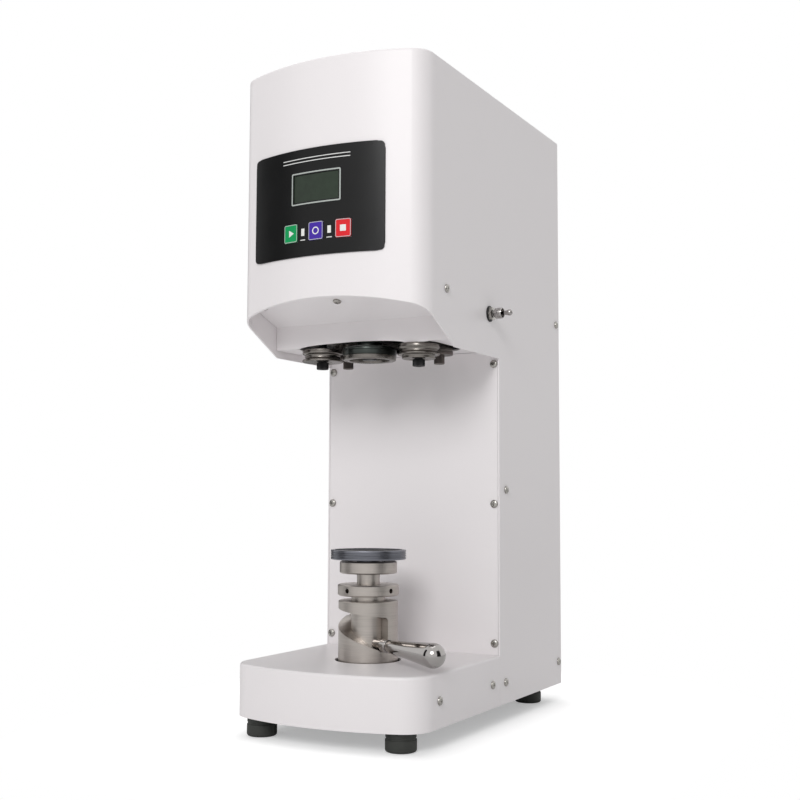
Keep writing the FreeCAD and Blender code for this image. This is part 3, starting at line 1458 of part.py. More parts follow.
def make_drive():
    """Bearing quill, its bearings, both motors and the belt."""
    quill = piece("spindle_quill")
    bore = "size.housing_bore + size.fit_gap"
    turned(quill, [
        (bore, "size.plate_low"),
        ("size.quill_radius - size.spigot_in", "size.plate_low"),
        ("size.quill_radius - size.spigot_in", "size.plate_top"),
        ("size.quill_radius + size.quill_flange", "size.plate_top"),
        ("size.quill_radius + size.quill_flange", "size.plate_top + size.quill_flange_thick"),
        ("size.quill_radius", "size.plate_top + size.quill_flange_thick"),
        ("size.quill_radius", "size.quill_top"),
        (bore, "size.quill_top"),
        (bore, "size.quill_top - size.bearing_tall - size.bearing_inset"),
        ("size.shaft_radius + size.bearing_lip", "size.quill_top - size.bearing_tall - size.bearing_inset"),
        ("size.shaft_radius + size.bearing_lip", "size.plate_low + size.bearing_tall + size.bearing_inset"),
        (bore, "size.plate_low + size.bearing_tall + size.bearing_inset"),
    ])
    races = piece("spindle_bearings")
    inner = "size.shaft_radius + size.fit_gap"
    outer = "size.housing_bore"
    for low in ("size.plate_low + size.bearing_inset",
                "size.quill_top - size.bearing_tall - size.bearing_inset"):
        drawing = circle(circle(sketch(races, lift=low), "0", "0", inner), "0", "0", outer)
        pad(races, drawing, "size.bearing_tall")
    motor = piece("main_motor", y="size.motor_y")
    turned(motor, [
        ("0", "size.plate_top"),
        ("size.motor_radius", "size.plate_top"),
        ("size.motor_radius", "size.motor_top - size.motor_edge"),
        ("size.motor_radius - size.motor_edge", "size.motor_top"),
        ("size.motor_bore", "size.motor_top"),
        ("size.motor_bore", "size.motor_top - size.pulley_rise - size.motor_bore_room"),
        ("0", "size.motor_top - size.pulley_rise - size.motor_bore_room"),
    ])
    gear = piece("seaming_gearmotor", y="size.cam_y")
    turned(gear, [
        ("0", "size.plate_top + size.cam_shaft_over + size.seat_gap"),
        ("size.cam_shaft + size.fit_gap", "size.plate_top + size.cam_shaft_over + size.seat_gap"),
        ("size.cam_shaft + size.fit_gap", "size.plate_top"),
        ("size.gear_radius", "size.plate_top"),
        ("size.gear_radius", "size.plate_top + size.gear_case"),
        ("size.gear_radius - size.gear_step", "size.plate_top + size.gear_case"),
        ("size.gear_radius - size.gear_step", "size.gear_top"),
        ("0", "size.gear_top"),
    ])
    slack = size("seat_gap")
    low = size("pulley_low") + (size("pulley_tall") - size("belt_wide")) / 2
    one = FreeCAD.Vector(0, 0, low)
    other = FreeCAD.Vector(0, size("motor_y"), low)
    near = size("driven_radius") + slack
    far = size("driver_radius") + slack
    thick = size("belt_thick")
    outside = hull_of_two(one, near + thick, other, far + thick, low, size("belt_wide"))
    inside = hull_of_two(one, near, other, far, low, size("belt_wide"))
    solid("drive_belt", outside.cut(inside))


def bow_slab(body, left, right, low, high, back, front):
    """Slab that follows the bowed head front: back and front are its distances out of the painted face."""
    drawing = sketch(body, lift=low)
    middle = size("head_bow") - size("head_reach")
    bend = size("head_bow")
    up = FreeCAD.Vector(0, 0, 1)
    centre = FreeCAD.Vector(0, middle, 0)
    half_turn = 0.1
    start = -math.pi / 2 - half_turn
    finish = -math.pi / 2 + half_turn
    face = bend + 1
    for radius in (bend, face):
        drawing.addGeometry(Part.ArcOfCircle(Part.Circle(centre, up, radius), start, finish))
    corners = [FreeCAD.Vector(radius * math.cos(turn), middle + radius * math.sin(turn), 0)
               for turn in (start, finish) for radius in (bend, face)]
    drawing.addGeometry(Part.LineSegment(corners[0], corners[1]))
    drawing.addGeometry(Part.LineSegment(corners[2], corners[3]))
    for one, end, other, tip in ((2, 1, 0, 1), (2, 2, 1, 1), (3, 1, 0, 2), (3, 2, 1, 2)):
        drawing.addConstraint(Sketcher.Constraint("Coincident", one, end, other, tip))
    drawing.addConstraint(Sketcher.Constraint("Vertical", 2))
    drawing.addConstraint(Sketcher.Constraint("Vertical", 3))
    drawing.addConstraint(Sketcher.Constraint("Coincident", 0, 3, 1, 3))
    drawing.addConstraint(Sketcher.Constraint("PointOnObject", 0, 3, -2))
    held = [
        (Sketcher.Constraint("DistanceY", -1, 1, 0, 3, middle), "size.head_bow - size.head_reach"),
        (Sketcher.Constraint("Radius", 0, bend), "size.head_bow + (%s)" % back),
        (Sketcher.Constraint("Radius", 1, face), "size.head_bow + (%s)" % front),
        (Sketcher.Constraint("DistanceX", -1, 1, 2, 1, corners[0].x), left),
        (Sketcher.Constraint("DistanceX", -1, 1, 3, 1, corners[2].x), right),
    ]
    for constraint, rule in held:
        number = drawing.addConstraint(constraint)
        bind(drawing, "Constraints[%d]" % number, rule)
    return pad(body, drawing, "(%s) - (%s)" % (high, low))


def round_corners(body, left, right, low, high, corner):
    """Trims a front piece to a rounded rectangle."""
    drawing = rounded(sketch(body, "XZ_Plane"), left, right, low, high, corner)
    rectangle(drawing, "-size.overrun", "size.overrun", "-size.overrun", "2 * size.overrun")
    return cut(body, drawing)


def front_window(body, spots):
    """Cuts upright windows through a front piece; each is a centre and two half sizes."""
    drawing = sketch(body, "XZ_Plane")
    for x, z, half_wide, half_tall in spots:
        rectangle(drawing, "(%s) - (%s)" % (x, half_wide), "(%s) + (%s)" % (x, half_wide),
                  "(%s) - (%s)" % (z, half_tall), "(%s) + (%s)" % (z, half_tall))
    return cut(body, drawing)


def make_front_panel():
    """Dark overlay with its screen, key caps and lamps, all on the bow of the head."""
    keys = (("green_key", "size.green_x"), ("blue_key", "size.blue_x"), ("red_key", "size.red_x"))
    lamps = ("size.left_lamp_x", "size.right_lamp_x")
    screen_x = "(size.screen_right - size.screen_left) / 2"
    screen_half = "(size.screen_right + size.screen_left) / 2"
    screen_tall = "(size.screen_high - size.screen_low) / 2"
    overlay = piece("panel_overlay")
    outline = ("-size.panel_left", "size.panel_right", "size.panel_low", "size.panel_high")
    bow_slab(overlay, *outline, "0", "size.panel_thick")
    round_corners(overlay, *outline, "size.panel_corner")
    spots = [(screen_x, "size.screen_mid", screen_half + " + size.fit_gap", screen_tall + " + size.fit_gap")]
    for name, x in keys:
        spots.append((x, "size.key_level",
                      "size.key_wide / 2 + size.key_gap", "size.key_tall / 2 + size.key_gap"))
    for x in lamps:
        spots.append((x, "size.key_level",
                      "size.lamp_wide / 2 + size.fit_gap", "size.lamp_tall / 2 + size.fit_gap"))
    front_window(overlay, spots)
    frame = piece("lcd_frame")
    bow_slab(frame, "-size.screen_left", "size.screen_right", "size.screen_low", "size.screen_high",
             "0", "size.panel_thick + size.frame_proud")
    front_window(frame, [(screen_x, "size.screen_mid",
                          screen_half + " - size.screen_rim", screen_tall + " - size.screen_rim")])
    glass = piece("lcd_glass")
    inner = "(size.screen_rim + size.fit_gap)"
    bow_slab(glass, "-size.screen_left + " + inner, "size.screen_right - " + inner,
             "size.screen_low + " + inner, "size.screen_high - " + inner,
             "-size.sheet - size.glass_deep", "size.panel_thick - size.glass_sunk")
    for name, x in keys:
        key = piece(name)
        outline = (x + " - size.key_wide / 2", x + " + size.key_wide / 2",
                   "size.key_level - size.key_tall / 2", "size.key_level + size.key_tall / 2")
        bow_slab(key, *outline, "size.key_back", "size.key_back + size.key_thick")
        round_corners(key, *outline, "size.key_corner")
    lamp = piece("indicator_lamps")
    for x in lamps:
        bow_slab(lamp, x + " - size.lamp_wide / 2", x + " + size.lamp_wide / 2",
                 "size.key_level - size.lamp_tall / 2", "size.key_level + size.lamp_tall / 2",
                 "0", "size.panel_thick + size.lamp_proud")
    board = piece("display_board")
    face = "-size.head_reach + size.board_back"
    block(board, "-size.board_half", "size.board_half", face, face + " + size.board_thick",
          "size.screen_low - size.board_low_edge", "size.screen_high + size.board_high_edge")
    inset = "(size.screen_rim + size.seat_gap)"
    block(board, "-size.screen_left + " + inset, "size.screen_right - " + inset,
          "-size.head_reach + size.module_face", face,
          "size.screen_low + " + inset, "size.screen_high - " + inset)
    pegs = sketch(board, "XZ_Plane", "size.head_reach - size.board_back")
    for x in ("-size.board_half + size.board_peg_in", "size.board_half - size.board_peg_in"):
        for z in ("size.screen_low - size.board_low_edge + size.board_peg_in",
                  "size.screen_high + size.board_high_edge - size.board_peg_in"):
            circle(pegs, x, z, "size.board_peg")
    pad(board, pegs, "size.board_face - size.board_back")


def make_toggle():
    """Bat-handle switch in the right wall: body behind it, washer and nut outside, bat on its pivot."""
    spot_y = "size.toggle_y"
    spot_z = "size.toggle_z"
    switch = piece("toggle_switch", y=spot_y, z=spot_z)
    can = rectangle(sketch(switch, "YZ_Plane", "size.half - size.sheet - size.switch_deep"),
                    "-size.switch_half", "size.switch_half",
                    "-size.switch_half_tall", "size.switch_half_tall")
    pad(switch, can, "size.switch_deep - size.seat_gap")
    can_face = "size.half - size.sheet - size.seat_gap"
    neck = circle(sketch(switch, "YZ_Plane", can_face), "0", "0", "size.toggle_bush")
    circle(neck, "0", "0", "size.toggle_bore")
    pad(switch, neck, "size.bush_reach + size.seat_gap")
    pocket = circle(sketch(switch, "YZ_Plane", can_face), "0", "0", "size.toggle_bore")
    cut(switch, pocket, "size.bush_pocket")
    nut = piece("toggle_nut", y=spot_y, z=spot_z)
    washer = circle(sketch(nut, "YZ_Plane", "size.half"), "0", "0", "size.washer_radius")
    circle(washer, "0", "0", "size.toggle_bush + size.fit_gap")
    pad(nut, washer, "size.washer_thick")
    corners = []
    for turn in range(6):
        angle = "%d deg" % (60 * turn)
        corners.append(("sin(%s) * size.nut_radius" % angle, "cos(%s) * size.nut_radius" % angle))
    hexagon = polygon(sketch(nut, "YZ_Plane", "size.half + size.washer_thick"), corners)
    circle(hexagon, "0", "0", "size.toggle_bush + size.fit_gap")
    pad(nut, hexagon, "size.nut_thick")
    bat = piece("toggle_bat")
    bat.Placement = FreeCAD.Placement(FreeCAD.Vector(0, 0, 0), FreeCAD.Rotation(FreeCAD.Vector(0, 1, 0), 90))
    place(bat, x="size.half", y=spot_y, z=spot_z)
    turned(bat, [
        ("0", "size.toggle_pivot - size.bat_tail_long"),
        ("size.bat_tail", "size.toggle_pivot - size.bat_tail_long"),
        ("size.bat_tail", "size.toggle_pivot - size.bat_tail_end"),
        ("size.bat_ball", "size.toggle_pivot - size.bat_ball_half"),
        ("size.bat_ball", "size.toggle_pivot + size.bat_ball_half"),
        ("size.bat_neck", "size.toggle_pivot + size.bat_neck_start"),
        ("size.toggle_ball - size.bat_swell_in", "size.toggle_reach - size.bat_swell_long"),
        ("size.toggle_ball", "size.toggle_reach - size.bat_tip_long"),
        ("size.toggle_ball - size.bat_round_in", "size.toggle_reach - size.bat_round_long"),
        ("size.toggle_ball - size.bat_tip_in", "size.toggle_reach"),
        ("0", "size.toggle_reach"),
    ])
    pin = circle(sketch(bat, "XZ_Plane"), "0", "size.toggle_pivot", "size.toggle_pin")
    pad(bat, pin, "(size.toggle_bore - size.fit_gap * 2) * 2", both=True)


def make_power_inlet():
    """Mains inlet in the rear panel: flange, shell with its socket, and three contact blades."""
    inlet = piece("power_inlet", x="size.inlet_x", z="size.inlet_z")
    outside = "-size.rear_reach - size.inlet_rim"
    flange = rectangle(sketch(inlet, "XZ_Plane", outside),
                       "-size.inlet_wide / 2 - size.inlet_margin", "size.inlet_wide / 2 + size.inlet_margin",
                       "-size.inlet_tall / 2 - size.inlet_margin", "size.inlet_tall / 2 + size.inlet_margin")
    pad(inlet, flange, "size.inlet_rim")
    shell = rectangle(sketch(inlet, "XZ_Plane", "-size.rear_reach"),
                      "-size.inlet_wide / 2", "size.inlet_wide / 2",
                      "-size.inlet_tall / 2", "size.inlet_tall / 2")
    pad(inlet, shell, "size.inlet_deep")
    socket = rectangle(sketch(inlet, "XZ_Plane", outside),
                       "-size.socket_wide / 2", "size.socket_wide / 2",
                       "-size.socket_tall / 2", "size.socket_tall / 2")
    cut(inlet, socket, "size.socket_deep", reverse=True)
    blades = sketch(inlet, "XZ_Plane", "-size.rear_reach + size.socket_floor")
    for x, z in (("-size.blade_x", "-size.blade_z"), ("size.blade_x", "-size.blade_z"),
                 ("0", "size.blade_z")):
        rectangle(blades, x + " - size.blade_half", x + " + size.blade_half",
                  z + " - size.blade_half_tall", z + " + size.blade_half_tall")
    pad(inlet, blades, "size.blade_long", reverse=True)


def make_electrics():
    supply = piece("power_supply")
    block(supply, "-size.supply_wide / 2", "size.supply_wide / 2", "size.column_front + size.supply_front",
          "size.rear_reach - size.supply_rear", "size.deck", "size.deck + size.supply_tall")
    board = piece("control_board")
    face = "size.column_front + size.sheet"
    stands = sketch(board, "XZ_Plane", "-(%s)" % face)
    for x in ("-size.board_wide / 2 + size.board_stand_in", "size.board_wide / 2 - size.board_stand_in"):
        for z in ("size.board_rise + size.board_stand_in",
                  "size.board_rise + size.board_tall - size.board_stand_in"):
            circle(stands, x, z, "size.board_stand_radius")
    pad(board, stands, "size.board_stand", reverse=True)
    near = face + " + size.board_stand"
    far = near + " + size.board_thick"
    block(board, "-size.board_wide / 2", "size.board_wide / 2", near, far,
          "size.board_rise", "size.board_rise + size.board_tall")
    # heat sink and relay on the board, each a share of the board's own size
    block(board, "-size.board_wide * 0.28", "size.board_wide * 0.08", far, far + " + size.board_stand * 3",
          "size.board_rise + size.board_tall * 0.2", "size.board_rise + size.board_tall * 0.44")
    block(board, "size.board_wide * 0.17", "size.board_wide * 0.41", far, far + " + size.board_stand * 2",
          "size.board_rise + size.board_tall * 0.55", "size.board_rise + size.board_tall * 0.87")


def make_chin_screws():
    """Three pan-head screws in the sloped part of the under plate."""
    body = piece("chin_screws")
    heads = slope_sketch(body)
    shanks = slope_sketch(body)
    for x in chin_screws:
        circle(heads, x, "0", "size.screw_head")
        circle(shanks, x, "0", "size.screw_shank")
    pad(body, heads, "size.screw_proud", reverse=True)
    pad(body, shanks, "size.sheet + size.chin_shank")


make_main_shell()
make_base_cover()
make_base_plate()
make_column_front_panel()
make_rear_panel()
make_under_plate()
make_column_posts()
make_head_plate()
make_feet()
make_casing_screws()
make_cam_sleeve()
make_sleeve_bolts()
make_lift()
make_lever()
make_arm("left_arm", -1)
make_arm("right_arm", 1)
make_rollers()
make_pivot_bolts()
make_arm_spring()
make_cam()
make_chuck()
make_drive()
make_front_panel()
make_toggle()
make_power_inlet()
make_electrics()
make_chin_screws()
doc.recompute()

faults = [thing.Name for thing in doc.Objects if "Invalid" in thing.State or "Error" in thing.State]
for part in parts:
    if part.Shape.isNull() or not part.Shape.isValid() or not part.Shape.Solids:
        faults.append(part.Label)
if faults:
    raise RuntimeError("failed: " + ", ".join(faults))
os.makedirs("parts", exist_ok=True)
for part in parts:
    part.Shape.exportStep("parts/%s.step" % part.Label)
    print(part.Label, len(part.Shape.Solids), round(part.Shape.Volume / 1000, 2), part.Shape.BoundBox)
print(len(parts), "sub-parts")
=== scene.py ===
import bpy
import bmesh
import json
import math
from mathutils import Matrix, Vector


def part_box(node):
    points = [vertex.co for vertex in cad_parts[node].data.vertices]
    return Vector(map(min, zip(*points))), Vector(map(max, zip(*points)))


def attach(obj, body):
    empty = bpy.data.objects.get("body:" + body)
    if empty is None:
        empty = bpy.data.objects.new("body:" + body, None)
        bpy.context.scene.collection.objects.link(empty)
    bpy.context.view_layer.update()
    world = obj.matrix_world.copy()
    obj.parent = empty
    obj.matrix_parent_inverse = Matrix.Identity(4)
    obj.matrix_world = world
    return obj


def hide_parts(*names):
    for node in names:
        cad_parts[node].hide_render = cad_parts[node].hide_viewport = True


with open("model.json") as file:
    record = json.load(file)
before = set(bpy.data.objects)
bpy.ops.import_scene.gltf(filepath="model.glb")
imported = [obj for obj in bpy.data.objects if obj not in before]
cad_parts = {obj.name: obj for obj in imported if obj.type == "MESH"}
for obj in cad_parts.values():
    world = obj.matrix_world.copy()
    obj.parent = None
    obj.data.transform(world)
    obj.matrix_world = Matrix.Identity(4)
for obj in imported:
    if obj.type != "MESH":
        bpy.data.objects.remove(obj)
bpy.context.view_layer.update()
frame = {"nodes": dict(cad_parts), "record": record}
nodes = frame["nodes"]
scene = bpy.context.scene

MM = 0.001
pad_low, pad_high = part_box("rubber_pad")
axis = Vector(((pad_low.x + pad_high.x) / 2, (pad_low.y + pad_high.y) / 2, 0))


def spot(x, y, z):
    """Place beside the seaming axis, given in millimetres."""
    return axis + Vector((x, y, z)) * MM


# Camera, at the photograph's place and angle

turn = math.radians(28.345)
tilt = math.radians(4.763)
roll = math.radians(0.212)
ahead = Vector((-math.sin(turn) * math.cos(tilt), math.cos(turn) * math.cos(tilt), math.sin(tilt)))
level = Vector((math.cos(turn), math.sin(turn), 0))
upward = level.cross(ahead)
across = level * math.cos(roll) + upward * math.sin(roll)
upright = upward * math.cos(roll) - level * math.sin(roll)
bpy.ops.object.camera_add()
camera = bpy.context.object
camera.matrix_world = Matrix((
    (across.x, upright.x, -ahead.x, 0),
    (across.y, upright.y, -ahead.y, 0),
    (across.z, upright.z, -ahead.z, 0),
    (0, 0, 0, 1),
))
camera.location = spot(544.8, -950.1, 209.3)
camera.data.sensor_width = 36
camera.data.lens = 53.216
camera.data.clip_start = 0.05
scene.camera = camera
scene.view_settings.view_transform = "Standard"


# Shared effects of the finishes

def effect(name, outputs, inputs=()):
    """An empty node group with the given inputs and outputs, into which each effect puts its own reading of
    Object coordinates.
    """
    group = bpy.data.node_groups.new(name, "ShaderNodeTree")
    for label, kind, value in inputs:
        socket = group.interface.new_socket(name=label, in_out="INPUT", socket_type=kind)
        socket.default_value = value
    for label, kind in outputs:
        group.interface.new_socket(name=label, in_out="OUTPUT", socket_type=kind)
    return group, group.nodes.new("NodeGroupInput"), group.nodes.new("NodeGroupOutput")


def mottle_effect():
    """Slow and fine noise, as one factor round a middle of a half."""
    group, given, result = effect("mottle", [("Factor", "NodeSocketFloat")],
                                  [("Scale", "NodeSocketFloat", 60.0), ("Fine", "NodeSocketFloat", 600.0)])
    place = group.nodes.new("ShaderNodeTexCoord")
    slow = group.nodes.new("ShaderNodeTexNoise")
    slow.inputs["Detail"].default_value = 3
    fine = group.nodes.new("ShaderNodeTexNoise")
    fine.inputs["Detail"].default_value = 2
    blend = group.nodes.new("ShaderNodeMix")
    blend.inputs["Factor"].default_value = 0.4
    group.links.new(place.outputs["Object"], slow.inputs["Vector"])
    group.links.new(place.outputs["Object"], fine.inputs["Vector"])
    group.links.new(given.outputs["Scale"], slow.inputs["Scale"])
    group.links.new(given.outputs["Fine"], fine.inputs["Scale"])
    group.links.new(slow.outputs["Fac"], blend.inputs["A"])
    group.links.new(fine.outputs["Fac"], blend.inputs["B"])
    group.links.new(blend.outputs["Result"], result.inputs["Factor"])
    return group


def lathe_effect():
    """Fine rings round an upright turned piece."""
    group, given, result = effect("lathe_rings", [("Factor", "NodeSocketFloat")],
                                  [("Along", "NodeSocketFloat", 2500.0), ("Round", "NodeSocketFloat", 30.0)])
    place = group.nodes.new("ShaderNodeTexCoord")
    stretch = group.nodes.new("ShaderNodeVectorMath")
    stretch.operation = "MULTIPLY"
    scale = group.nodes.new("ShaderNodeCombineXYZ")
    noise = group.nodes.new("ShaderNodeTexNoise")
    noise.inputs["Scale"].default_value = 1
    noise.inputs["Detail"].default_value = 4
    group.links.new(given.outputs["Round"], scale.inputs["X"])
    group.links.new(given.outputs["Round"], scale.inputs["Y"])
    group.links.new(given.outputs["Along"], scale.inputs["Z"])
    group.links.new(place.outputs["Object"], stretch.inputs[0])
    group.links.new(scale.outputs["Vector"], stretch.inputs[1])
    group.links.new(stretch.outputs["Vector"], noise.inputs["Vector"])
    group.links.new(noise.outputs["Fac"], result.inputs["Factor"])
    return group


mottle = mottle_effect()
lathe_rings = lathe_effect()


grain_low = 0.25
grain_high = 0.75
roughness_spread = 0.15


def finish(name, colour, roughness, metallic=0.0, spread=0.06, grain=(60.0, 600.0), rings=None,
           bump=0.0, depth=0.0002, gloss_level=0.5, streak=0.0):
    """A finish whose colour, roughness and relief all vary with the piece's own grain."""
    material = bpy.data.materials.new(name)
    material.use_nodes = True
    tree = material.node_tree
    shader = tree.nodes["Principled BSDF"]
    shader.inputs["Metallic"].default_value = metallic
    shader.inputs["Specular IOR Level"].default_value = gloss_level
    shader.inputs["Anisotropic"].default_value = streak
    source = tree.nodes.new("ShaderNodeGroup")
    source.node_tree = lathe_rings if rings else mottle
    if rings:
        source.inputs["Along"].default_value, source.inputs["Round"].default_value = rings
    else:
        source.inputs["Scale"].default_value, source.inputs["Fine"].default_value = grain
    tint = tree.nodes.new("ShaderNodeMapRange")
    tint.inputs["From Min"].default_value = grain_low
    tint.inputs["From Max"].default_value = grain_high
    tree.links.new(source.outputs["Factor"], tint.inputs["Value"])
    ramp = tree.nodes.new("ShaderNodeMix")
    ramp.data_type = "RGBA"
    ramp.inputs["A"].default_value = (*[part * (1 - spread) for part in colour], 1)
    ramp.inputs["B"].default_value = (*[min(1, part * (1 + spread)) for part in colour], 1)
    tree.links.new(tint.outputs["Result"], ramp.inputs["Factor"])
    tree.links.new(ramp.outputs["Result"], shader.inputs["Base Color"])
    gloss = tree.nodes.new("ShaderNodeMapRange")
    gloss.inputs["From Min"].default_value = grain_low
    gloss.inputs["From Max"].default_value = grain_high
    gloss.inputs["To Min"].default_value = roughness * (1 - roughness_spread)
    gloss.inputs["To Max"].default_value = min(1, roughness * (1 + roughness_spread))
    tree.links.new(source.outputs["Factor"], gloss.inputs["Value"])
    tree.links.new(gloss.outputs["Result"], shader.inputs["Roughness"])
    if bump:
        relief = tree.nodes.new("ShaderNodeBump")
        relief.inputs["Strength"].default_value = bump
        relief.inputs["Distance"].default_value = depth
        tree.links.new(source.outputs["Factor"], relief.inputs["Height"])
        tree.links.new(relief.outputs["Normal"], shader.inputs["Normal"])
    return material


finishes = {
    "white_coat": finish("white_powder_coat", (0.83, 0.797, 0.805), 0.36, spread=0.01,
                         grain=(8.0, 900.0), bump=0.1, depth=0.0001, gloss_level=0.4),
    "raw_plate": finish("zinc_plate", (0.46, 0.47, 0.48), 0.42, 1.0, spread=0.12,
                        grain=(90.0, 900.0), bump=0.05),
    "cast_plate": finish("milled_aluminium", (0.6, 0.61, 0.62), 0.38, 1.0, spread=0.08,
                         grain=(40.0, 900.0), bump=0.05),
    "stainless": finish("turned_stainless", (0.45, 0.415, 0.385), 0.32, 1.0, spread=0.14,
                        rings=(2600.0, 30.0), bump=0.1, streak=0.5),
    "polished": finish("polished_chrome", (0.39, 0.372, 0.362), 0.1, 1.0, spread=0.04,
                       grain=(50.0, 500.0), bump=0.01),
    "tool_steel": finish("ground_steel", (0.2, 0.185, 0.17), 0.26, 1.0, spread=0.16,
                         rings=(1800.0, 20.0), bump=0.1),
    "screws": finish("nickel_plate", (0.4, 0.385, 0.36), 0.24, 1.0, spread=0.08,
                     grain=(200.0, 900.0), bump=0.03),
    "black_screws": finish("black_oxide", (0.02, 0.02, 0.021), 0.36, 0.5, spread=0.25,
                           grain=(200.0, 1200.0), bump=0.05, gloss_level=0.3),
    "dark_rim": finish("dark_anodised", (0.19, 0.195, 0.22), 0.3, 1.0, spread=0.35,
                       rings=(2200.0, 25.0), bump=0.05, streak=0.4),
    "rubber": finish("foot_rubber", (0.04, 0.042, 0.038), 0.6, spread=0.2,
                     grain=(150.0, 1500.0), bump=0.2, gloss_level=0.3),
    "pad_rubber": finish("pad_rubber", (0.028, 0.028, 0.031), 0.7, spread=0.2,
                         grain=(120.0, 1500.0), bump=0.25, gloss_level=0.3),
    "overlay": finish("dark_overlay", (0.0075, 0.0075, 0.0078), 0.3, spread=0.15,
                      grain=(30.0, 1800.0), bump=0.05, depth=0.00005, gloss_level=0.2),
    "screen_frame": finish("light_frame", (0.42, 0.45, 0.43), 0.35, spread=0.05,
                           grain=(80.0, 1200.0), bump=0.05),
    "screen": finish("display_glass", (0.02, 0.033, 0.02), 0.12, spread=0.35,
                     grain=(14.0, 120.0), gloss_level=0.3),
    "green": finish("green_key", (0.008, 0.31, 0.095), 0.36, spread=0.05,
                    grain=(80.0, 1400.0), bump=0.04, gloss_level=0.2),
    "blue": finish("violet_key", (0.06, 0.026, 0.34), 0.36, spread=0.05,
                   grain=(80.0, 1400.0), bump=0.04, gloss_level=0.2),
    "red": finish("red_key", (0.7, 0.022, 0.03), 0.36, spread=0.05,
                  grain=(80.0, 1400.0), bump=0.04, gloss_level=0.2),
    "lamps": finish("lamp_lens", (0.8, 0.8, 0.77), 0.3, spread=0.05, grain=(80.0, 800.0)),
    "bronze": finish("sintered_bronze", (0.5, 0.33, 0.16), 0.45, 1.0, spread=0.15,
                     grain=(150.0, 2500.0), bump=0.15),
    "belt": finish("belt_rubber", (0.02, 0.02, 0.02), 0.6, spread=0.2,
                   grain=(150.0, 1500.0), bump=0.2),
    "motor": finish("dark_enamel", (0.05, 0.055, 0.06), 0.4, spread=0.12,
                    grain=(60.0, 900.0), bump=0.1),
    "board": finish("lacquered_board", (0.02, 0.14, 0.06), 0.3, spread=0.15,
                    grain=(70.0, 900.0), bump=0.05),
    "supply": finish("pressed_case", (0.6, 0.6, 0.61), 0.4, 1.0, spread=0.08,
                     grain=(70.0, 900.0), bump=0.05),
    "inlet": finish("moulded_black", (0.02, 0.02, 0.021), 0.45, spread=0.2,
                    grain=(100.0, 1800.0), bump=0.12),
}
for part in frame["record"]["subparts"]:
    thing = nodes[part["node"]]
    thing.data.materials.clear()
    thing.data.materials.append(finishes[part["material_slot"]])

# Painted shade: the chuck's body gets a darker, greener steel than its lip, standing in for the shade under
# the head's plate
shaded_chuck_body_steel = finish("chuck_body_painted_shade", (0.055, 0.062, 0.058), 0.3, 1.0, spread=0.14,
                     rings=(1800.0, 20.0), bump=0.08)
cap_steel = finish("brown_cap_steel", (0.17, 0.15, 0.14), 0.4, 1.0, spread=0.14,
                   grain=(150.0, 900.0), bump=0.06)
print_white = finish("printed_white", (0.78, 0.78, 0.77), 0.4, spread=0.03, grain=(200.0, 1500.0))


# Ways of making the detailed pieces

weld_gap = 0.004 * MM
straight_up = (0, 0, 1)


def start(name):
    """Names the shape just added and puts its place and turn into its mesh."""
    thing = bpy.context.object
    thing.name = name
    thing.data.name = name
    bpy.ops.object.transform_apply(location=True, rotation=True, scale=True)
    return thing


def clear():
    """Leaves edit mode and deselects everything."""
    if bpy.context.object and bpy.context.object.mode != "OBJECT":
        bpy.ops.object.mode_set(mode="OBJECT")
    bpy.ops.object.select_all(action="DESELECT")


def only(thing):
    """Selects one piece and nothing else."""
    clear()
    bpy.context.view_layer.objects.active = thing
    thing.select_set(True)


def move_to(thing, place, way=straight_up):
    """Turns a piece made along +Z to another direction and moves it there, all in its mesh."""
    only(thing)
    thing.rotation_mode = "QUATERNION"
    thing.rotation_quaternion = Vector(straight_up).rotation_difference(Vector(way))
    thing.location = place
    bpy.ops.object.transform_apply(location=True, rotation=True, scale=True)
    thing.rotation_mode = "XYZ"


def lathe(name, profile, steps=72, soft=32):
    """Spins a profile of radius and height, in millimetres, about +Z into a closed shape."""
    clear()
    bpy.ops.mesh.primitive_plane_add(size=MM)
    thing = start(name)
    bpy.ops.object.mode_set(mode="EDIT")
    bpy.ops.mesh.select_all(action="SELECT")
    bpy.ops.mesh.merge(type="CENTER")
    far, high = profile[0]
    bpy.ops.transform.translate(value=(far * MM, 0, high * MM))
    for radius, level_up in profile[1:]:
        step = ((radius - far) * MM, 0, (level_up - high) * MM)
        bpy.ops.mesh.extrude_vertices_move(TRANSFORM_OT_translate={"value": step})
        far, high = radius, level_up
    bpy.ops.mesh.select_all(action="SELECT")
    bpy.ops.mesh.spin(steps=steps, angle=2 * math.pi, center=(0, 0, 0), axis=(0, 0, 1))
    bpy.ops.mesh.select_all(action="SELECT")
    bpy.ops.mesh.remove_doubles(threshold=weld_gap)
    bpy.ops.mesh.normals_make_consistent(inside=False)
    bpy.ops.object.mode_set(mode="OBJECT")
    bpy.ops.object.shade_smooth_by_angle(angle=math.radians(soft))
    return thing


def arc(middle, height, radius, first, last, steps):
    """Points of a rounded edge of a profile, angles in degrees from straight out."""
    points = []
    for step in range(steps + 1):
        turned = math.radians(first + (last - first) * step / steps)
        points.append((middle + radius * math.cos(turned), height + radius * math.sin(turned)))
    return points


def subtract(thing, tool, solver="EXACT"):
    """Cuts the tool's shape out of a piece and throws the tool away."""
    only(thing)
    carve = thing.modifiers.new("carve", "BOOLEAN")
    carve.operation = "DIFFERENCE"
    carve.solver = solver
    carve.object = tool
    bpy.ops.object.modifier_apply(modifier=carve.name)
    bpy.data.objects.remove(tool)


def copy_to(master, place, way):
    """A copy of a piece made along +Z, turned and moved to its own place."""
    only(master)
    bpy.ops.object.duplicate(linked=False)
    twin = bpy.context.object
    move_to(twin, place, way)
    return twin


def gather(things, name):
    """Joins copies into one piece."""
    only(things[0])
    for thing in things:
        thing.select_set(True)
    bpy.ops.object.join()
    whole = bpy.context.object
    whole.name = name
    whole.data.name = name
    return whole


